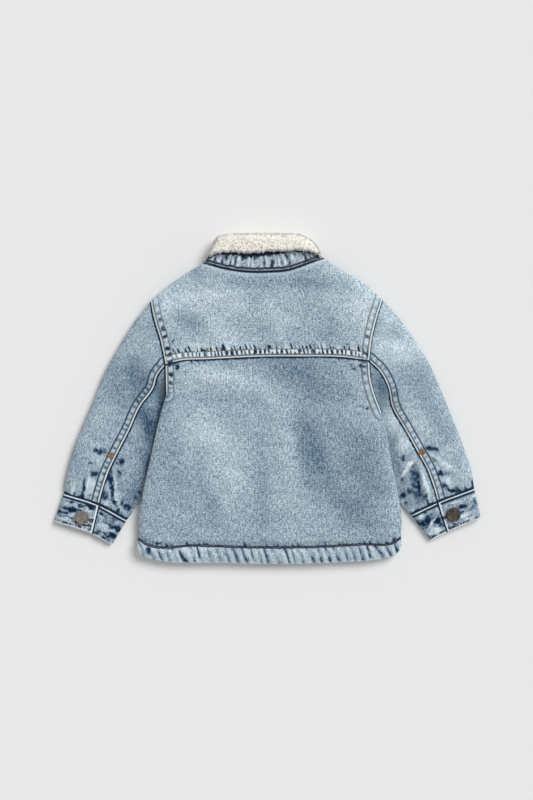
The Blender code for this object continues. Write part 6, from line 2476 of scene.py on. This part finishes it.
@dataclass
class Collar:
    """The collar: its denim stand, its pile side turned over the fold, and its two front wings."""

    finishes: Finishes
    pile: Pile = Pile()
    fall_height: float = 20.4
    fall_low: float = 13.7
    fall_roll: float = 10.0
    fall_lip: float = 3.4
    leg_top: float = 9.2
    lip_wall: float = 1.8
    end_low: float = 10.7
    leg_roll: float = 6.0
    leg_inset: float = 0.055
    turn: float = 7.5
    under_wall: float = 1.3
    bend: float = 0.8
    stand_corners: tuple = (Mark(-65.5, 167.5), Mark(57.8, 170.0))
    stand_at_neck: float = 15.0
    stand_at_fall: float = 11.6
    stand_waves: int = 17
    wave_height: float = 0.7
    wing_wall: float = 4.0
    pitch: float = 0.55
    curls: int = 2000

    def ends(self, lower: Array) -> tuple[Array, Array]:
        """The collar's two ends: curved where the fall shows, and straight down to the neckline.

        Args:
            lower: The lower line of the part.

        Returns:
            The line of each end.
        """
        if lower is FALL_LINE:
            return EDGE[Side.LEFT]["collar_end"], EDGE[Side.RIGHT]["collar_end"]
        return np.array([FOLD_LINE[0], lower[0]]), np.array([FOLD_LINE[-1], lower[-1]])

    def from_ends(self, points: Array) -> Array:
        """Distance from the nearer of the collar's two ends."""
        return np.minimum(*[distance(points, line) for line in self.ends(FALL_LINE)])

    def fall_under(self, points: Array) -> Array:
        """The lower surface of the fall's pile, which dips where the collar turns down at its ends."""
        return self.end_low + (self.fall_low - self.end_low) * ease(self.from_ends(points) / self.fall_roll)

    def build_pile(self) -> None:
        """The pile side: the fall on top, over the fold, and the stand's inside on the floor."""
        rows = graded(128.0, self.pitch, (0.0, 0.3, 0.7), (0.0, 0.3, 0.7))
        fall_down = graded(23.0, self.pitch, (0.0, 0.2, 0.5), (0.0, 0.2, 0.5))
        leg_down = graded(44.0, 1.2, (0.0, 0.4, 1.0), (0.0, 0.5))
        leg_line = spaced(NECK_LINE, np.linspace(self.leg_inset, 1.0 - self.leg_inset, 97))
        fall = coons(FOLD_LINE, FALL_LINE, *self.ends(FALL_LINE), rows, fall_down).transpose(1, 0, 2)
        leg = coons(FOLD_LINE, leg_line, *self.ends(leg_line), rows, leg_down).transpose(1, 0, 2)
        leg = inset(leg, right=0.5 * SEAM_GAP)
        edge = np.minimum(self.from_ends(fall), distance(fall, FOLD_LINE))
        base = self.end_low + 1.0
        top = base + (self.fall_height - base) * roll(edge / self.fall_roll)
        lip = self.fall_height - self.fall_low - self.lip_wall
        lip = lip * (1.0 - roll(distance(fall, FALL_LINE) / self.fall_lip))
        top = np.maximum(top - lip, self.fall_under(fall) + self.lip_wall)
        edge = np.minimum(self.from_ends(leg), distance(leg, FOLD_LINE))
        low = (self.leg_top - self.lip_wall) * (1.0 - roll(edge / self.leg_roll))
        outer = abreast(solid(fall, top)[:, ::-1], solid(leg, low)[:, 1:])
        fall_in, leg_in = inset(fall, left=self.turn), inset(leg, left=self.turn)
        over, under = solid(fall_in, self.fall_under(fall_in)), solid(leg_in, self.leg_top)
        inner = abreast(over[:, ::-1], under[:, 1:])
        places = cloth_places(outer)
        lip_near = fade(distance(outer[..., :2], FALL_LINE) / 4.0)
        lip_near = (Noise(76).line(outer[..., 0] / 1.7) - 0.7) * lip_near
        outer[..., 1] += lip_near * ease((outer[..., 2] - 9.0) / 3.0)
        bumps = self.pile.bumps(places + 0.8 * Noise(72).cloud(places, 4.0)[..., None])
        lumps = Noise(73).cloud(places, 7.0)
        normals = grid_normals(outer)
        normals = normals * np.sign(normals[:, fall.shape[1] // 2, 2].mean())
        clear = ease((outer[..., 2:] - 0.4) / 2.0)
        outer = outer + clear * normals * (self.pile.height * (bumps - 0.9) + 0.12 * lumps - 0.3)[..., None]
        # The first mark holds the pile's height, which sets the painted shade of its hollows; in a patch left
        # of the middle it is lowered, so more painted shade shows there.
        shaded_patch = bell((outer[..., 0] + 20.0) / 26.0) * bell((outer[..., 1] - 176.0) / 7.0)
        marks = Marks.plain(bumps.shape)
        marks.worn = np.clip((0.2 - 0.4 * shaded_patch) + (0.85 + 0.4 * shaded_patch) * bumps**1.6, 0.0, 1.0)
        cloth = ClothWall("collar_pile", outer, inner[FEW], marks, places)
        piece = cloth.build(self.finishes.sherpa, "collar_sherpa", "sherpa")
        columns = fall.shape[1] + 8
        rng = np.random.default_rng(75)
        i = rng.integers(1, outer.shape[0] - 1, self.curls)
        j = rng.integers(1, columns, self.curls)
        j[::4] = rng.integers(0, 5, len(j[::4]))
        j[1::4] = rng.integers(columns - 16, columns, len(j[1::4]))
        i[2::8] = rng.integers(1, 9, len(i[2::8]))
        i[6::8] = outer.shape[0] - rng.integers(2, 10, len(i[6::8]))
        i, j = (k[outer[i, j, 2] > 3.0] for k in (i, j))
        roots = outer[i, j] + rng.uniform(-0.3, 0.3, (len(i), 3)) + 0.25 * normals[i, j]
        tufts = self.pile.make_curls("collar_curls", roots, normals[i, j], self.finishes.sherpa)
        lay(piece, places[..., ::-1], ["floor"], [tufts])

    def build_stand(self) -> None:
        """The denim side: the stand from the neckline to the fold, and the fall's underside."""
        across = graded(134.0, 0.8, (0.0, 0.4), (0.0, 0.4))
        short, bend = self.fall_roll + 1.0, self.turn + 2.5
        bent = shifted(trimmed(FOLD_LINE, short, short), -bend)
        bent_inside = shifted(trimmed(FOLD_LINE, short, short), self.bend - bend)
        lip_row = shifted(trimmed(FALL_LINE, short + 4.0, short + 4.0), 1.5)
        neck_row = shifted(trimmed(NECK_LINE, 1.5, 1.5), 1.5 * SEAM_GAP)
        ends = [np.array([neck_row[k], corner, bent[k]]) for k, corner in zip((0, -1), self.stand_corners)]
        stand = coons(neck_row, bent, *ends, across, graded(34.0, 0.9, (0.0, 0.3, 0.8), (0.0, 1.0)))
        bent, bent_inside, lip_row = (spaced(line, across) for line in (bent, bent_inside, lip_row))
        fall, fall_inside = (np.linspace(row, lip_row, 8) for row in (bent, bent_inside))
        x, y = stand[..., 0], stand[..., 1]
        neck, lip = level(NECK_LINE, x), level(FALL_LINE, x)
        climb = ease((y - neck) / np.maximum(lip - neck, 6.0))
        shows = ease((y - neck - 1.5) / 3.0) * ease((lip - 1.0 - y) / 4.0)
        phase = self.stand_waves * across[None] + 0.5 * Noise(91).line(self.stand_waves * across)[None]
        wave = 0.75 * np.cos(2.0 * np.pi * phase) + 0.65 * Noise(94).plane(x / 2.6, y / 6.0)
        low = self.leg_top + SEAM_GAP
        top = self.stand_at_neck + (self.stand_at_fall - self.stand_at_neck) * climb
        top = top + self.wave_height * wave * shows
        ceiling = np.where(y > lip - 8.0, self.fall_under(stand) - 0.9, self.stand_at_neck + 2.0)
        ceiling = np.where(y > lip, self.fall_under(stand) - self.under_wall - 0.8, ceiling)
        top = np.maximum(np.minimum(top, ceiling), low + 0.5)
        from_neck = np.abs(y - neck)
        marks = Marks.plain(stand.shape[:-1])
        marks.tone = 0.02 + 0.12 * Noise(92).cloud(stand, 12.0)
        broken = 0.8 + 0.4 * Noise(95).cloud(stand, 3.0)
        marks.wear(0.85 * ease((wave - 0.1) / 0.8) * shows * broken)
        marks.dye_and_shade(0.85 * ease((-wave - 0.25) / 0.7) * shows * broken)
        # Painted shadow of the fall on the stand: a jagged dark band under the fall's lip, put in as indigo
        # and deepest left of the middle.
        shade = 2.2 + 5.0 * bell((x + 14.0) / 26.0)
        jagged = shade * (1.0 + 0.35 * Noise(96).line(x / 2.6)) + 0.7 * Noise(97).line(x / 1.3)
        shadow = fade(1.6 * (lip - y) / jagged - 0.9)
        marks.dye_and_shade(shadow * (0.85 + 0.35 * Noise(98).cloud(stand, 3.4)))
        # Painted shade along the stand's two ends, in the gaps between the collar and the shoulders, put in
        # as indigo.
        ends = np.minimum(*[
            distance(stand, np.array([neck_row[k], corner])) for k, corner in zip((0, -1), self.stand_corners)
        ])
        marks.dye_and_shade(0.9 * fade(ends - 0.9))
        marks.dye_and_shade(bell((from_neck - 3.5 - 0.6 * Noise(99).line(x / 1.4)) / 1.3))
        marks.dye_and_shade(0.95 * bell(from_neck / 1.0))
        top = top - 0.2 * bell((from_neck - 3.3) / 0.8)
        fall_top = self.fall_under(fall) - 0.5
        outer = np.concatenate([solid(stand, top), solid(fall, fall_top - self.under_wall)])
        inside = np.concatenate([stand[:-1], [bent_inside]])
        inner = np.concatenate([solid(inside, low), solid(fall_inside, fall_top)])
        marks = Marks.joined([marks, Marks.plain(fall.shape[:-1])], 0)
        places = np.concatenate([stand, 2.0 * stand[-1:, :] - fall])
        cloth = ClothWall("collar_denim", outer, inner[FEW], marks, places)
        piece = cloth.build(self.finishes.stand_denim, "collar_under")
        thread = Thread(pitch=2.7, length=2.4, width=1.0, rise=0.36)

        def height(points: Array) -> Array:
            """The stand's height just above the neckline.

            Args:
                points: Plan points.

            Returns:
                The height at each of them.
            """
            away = np.abs(points[..., 1] - level(NECK_LINE, points[..., 0]))
            reach = level(FALL_LINE, points[..., 0]) - points[..., 1] + away
            share = ease(away / np.maximum(reach, 6.0))
            return self.stand_at_neck + (self.stand_at_fall - self.stand_at_neck) * share

        rows = [
            thread.row(trimmed(shifted(NECK_LINE, away), 4.0, 4.0), height, 95 + k)
            for k, away in enumerate((0.9, 3.4))
        ]
        sewn = thread.make("stitches_neckline", rows, self.finishes.brown)
        lay(piece, places, ["collar_sherpa"], [sewn])

    def build_wing(self, side: Side) -> None:
        """A front end of the collar, folded outwards and lying flat under its front.

        Args:
            side: The side that it is on.
        """
        edge = EDGE[side]
        top, tip = [np.array([edge["wing_edge"][k], edge["wing_fold"][k]]) for k in (0, -1)]
        across = graded(22.0, 0.9, (0.0, 0.4), (0.0, 0.4))
        down = graded(85.0, 0.9, (0.0, 0.4), (0.0, 0.4))
        plan = coons(top, tip, edge["wing_edge"], edge["wing_fold"], across, down)
        bumps = self.pile.bumps(plan)
        rim = (plan[0], plan[-1], plan[:, 0], plan[:, -1])
        near = np.minimum.reduce([distance(plan, line) for line in rim]) / 1.5
        low = 0.7 * ease(near) * (1.0 - bumps) + 0.5 * (1.0 - roll(near))
        marks = Marks.plain(bumps.shape)
        # The first mark holds the pile's height, which sets the painted shade of its hollows.
        marks.worn = np.clip(0.25 + 0.9 * bumps, 0.0, 1.0)
        inner = solid(plan[FEW], self.wing_wall)
        cloth = ClothWall("wing_pile_" + side.value, solid(plan, low), inner, marks, plan)
        piece = cloth.build(self.finishes.sherpa, "collar_wing_" + side.value, "sherpa")
        lay(piece, plan, ["floor"])

    def build(self) -> None:
        """Makes every piece of the collar."""
        self.build_stand()
        self.build_pile()
        for side in Side:
            self.build_wing(side)


@dataclass(frozen=True)
class Studio:
    """A plain pale floor, soft light from the upper right, and a camera straight above."""

    centre: Mark = Mark(-0.9, -1.7)
    distance: float = 2182.0
    lens: float = 85.0
    floor_level: float = -0.3
    floor_half: float = 30000.0
    floor_tone: tuple = (234, 234, 234)
    sky: float = 0.47
    sun: float = 2.25
    sun_elevation: float = 46.0
    sun_azimuth: float = 42.0
    sun_width: float = 32.0

    def build(self) -> None:
        """Makes the floor, the light and the camera."""
        self.build_floor()
        scene = bpy.context.scene
        scene.view_settings.view_transform = "Standard"
        world = bpy.data.worlds.new("studio")
        world.use_nodes = True
        sky = world.node_tree.nodes["Background"]
        sky.inputs["Color"].default_value = (1.0, 1.0, 1.0, 1.0)
        sky.inputs["Strength"].default_value = self.sky
        scene.world = world
        light = bpy.data.lights.new("window", "SUN")
        light.energy = self.sun
        light.angle = math.radians(self.sun_width)
        lamp = bpy.data.objects.new("window", light)
        lamp.rotation_euler = (0.0, math.radians(90.0 - self.sun_elevation), math.radians(self.sun_azimuth))
        scene.collection.objects.link(lamp)
        lens = bpy.data.cameras.new("camera")
        lens.lens = self.lens
        camera = bpy.data.objects.new("camera", lens)
        camera.location = (self.centre.x * MM, self.centre.y * MM, self.distance * MM)
        scene.collection.objects.link(camera)
        scene.camera = camera

    def build_floor(self) -> None:
        """A pale sheet of paper, wide enough to fill every view."""
        half = self.floor_half
        corners = np.array([(-half, -half), (half, -half), (half, half), (-half, half)])
        data = bpy.data.meshes.new("floor")
        data.from_pydata((solid(corners, self.floor_level) * MM).tolist(), [], [(0, 1, 2, 3)])
        values = {"Base Color": linear(*self.floor_tone), "Roughness": 1.0, "Specular IOR Level": 0.0}
        data.materials.append(new_material("paper", values)[0])
        floor = bpy.data.objects.new("floor", data)
        bpy.context.scene.collection.objects.link(floor)


def main() -> None:
    """Builds the jacket in the order that a maker would sew it, and then the studio."""
    finishes = Finishes()
    body = LaidBody()
    sub_assemblies = [Back(body, finishes)]
    for side in Side:
        sleeve = Sleeve(side, LaidSleeve(side), finishes)
        sub_assemblies += [Front(side, body, finishes), sleeve, Cuff(side, finishes)]
    sub_assemblies += [FrontButtons(body, finishes), Collar(finishes), Studio()]
    for assembly in sub_assemblies:
        LOG.info("building %s", type(assembly).__name__)
        assembly.build()


if __name__ == "__main__":
    logging.basicConfig(level=logging.INFO, format="%(name)s: %(message)s")
    main()
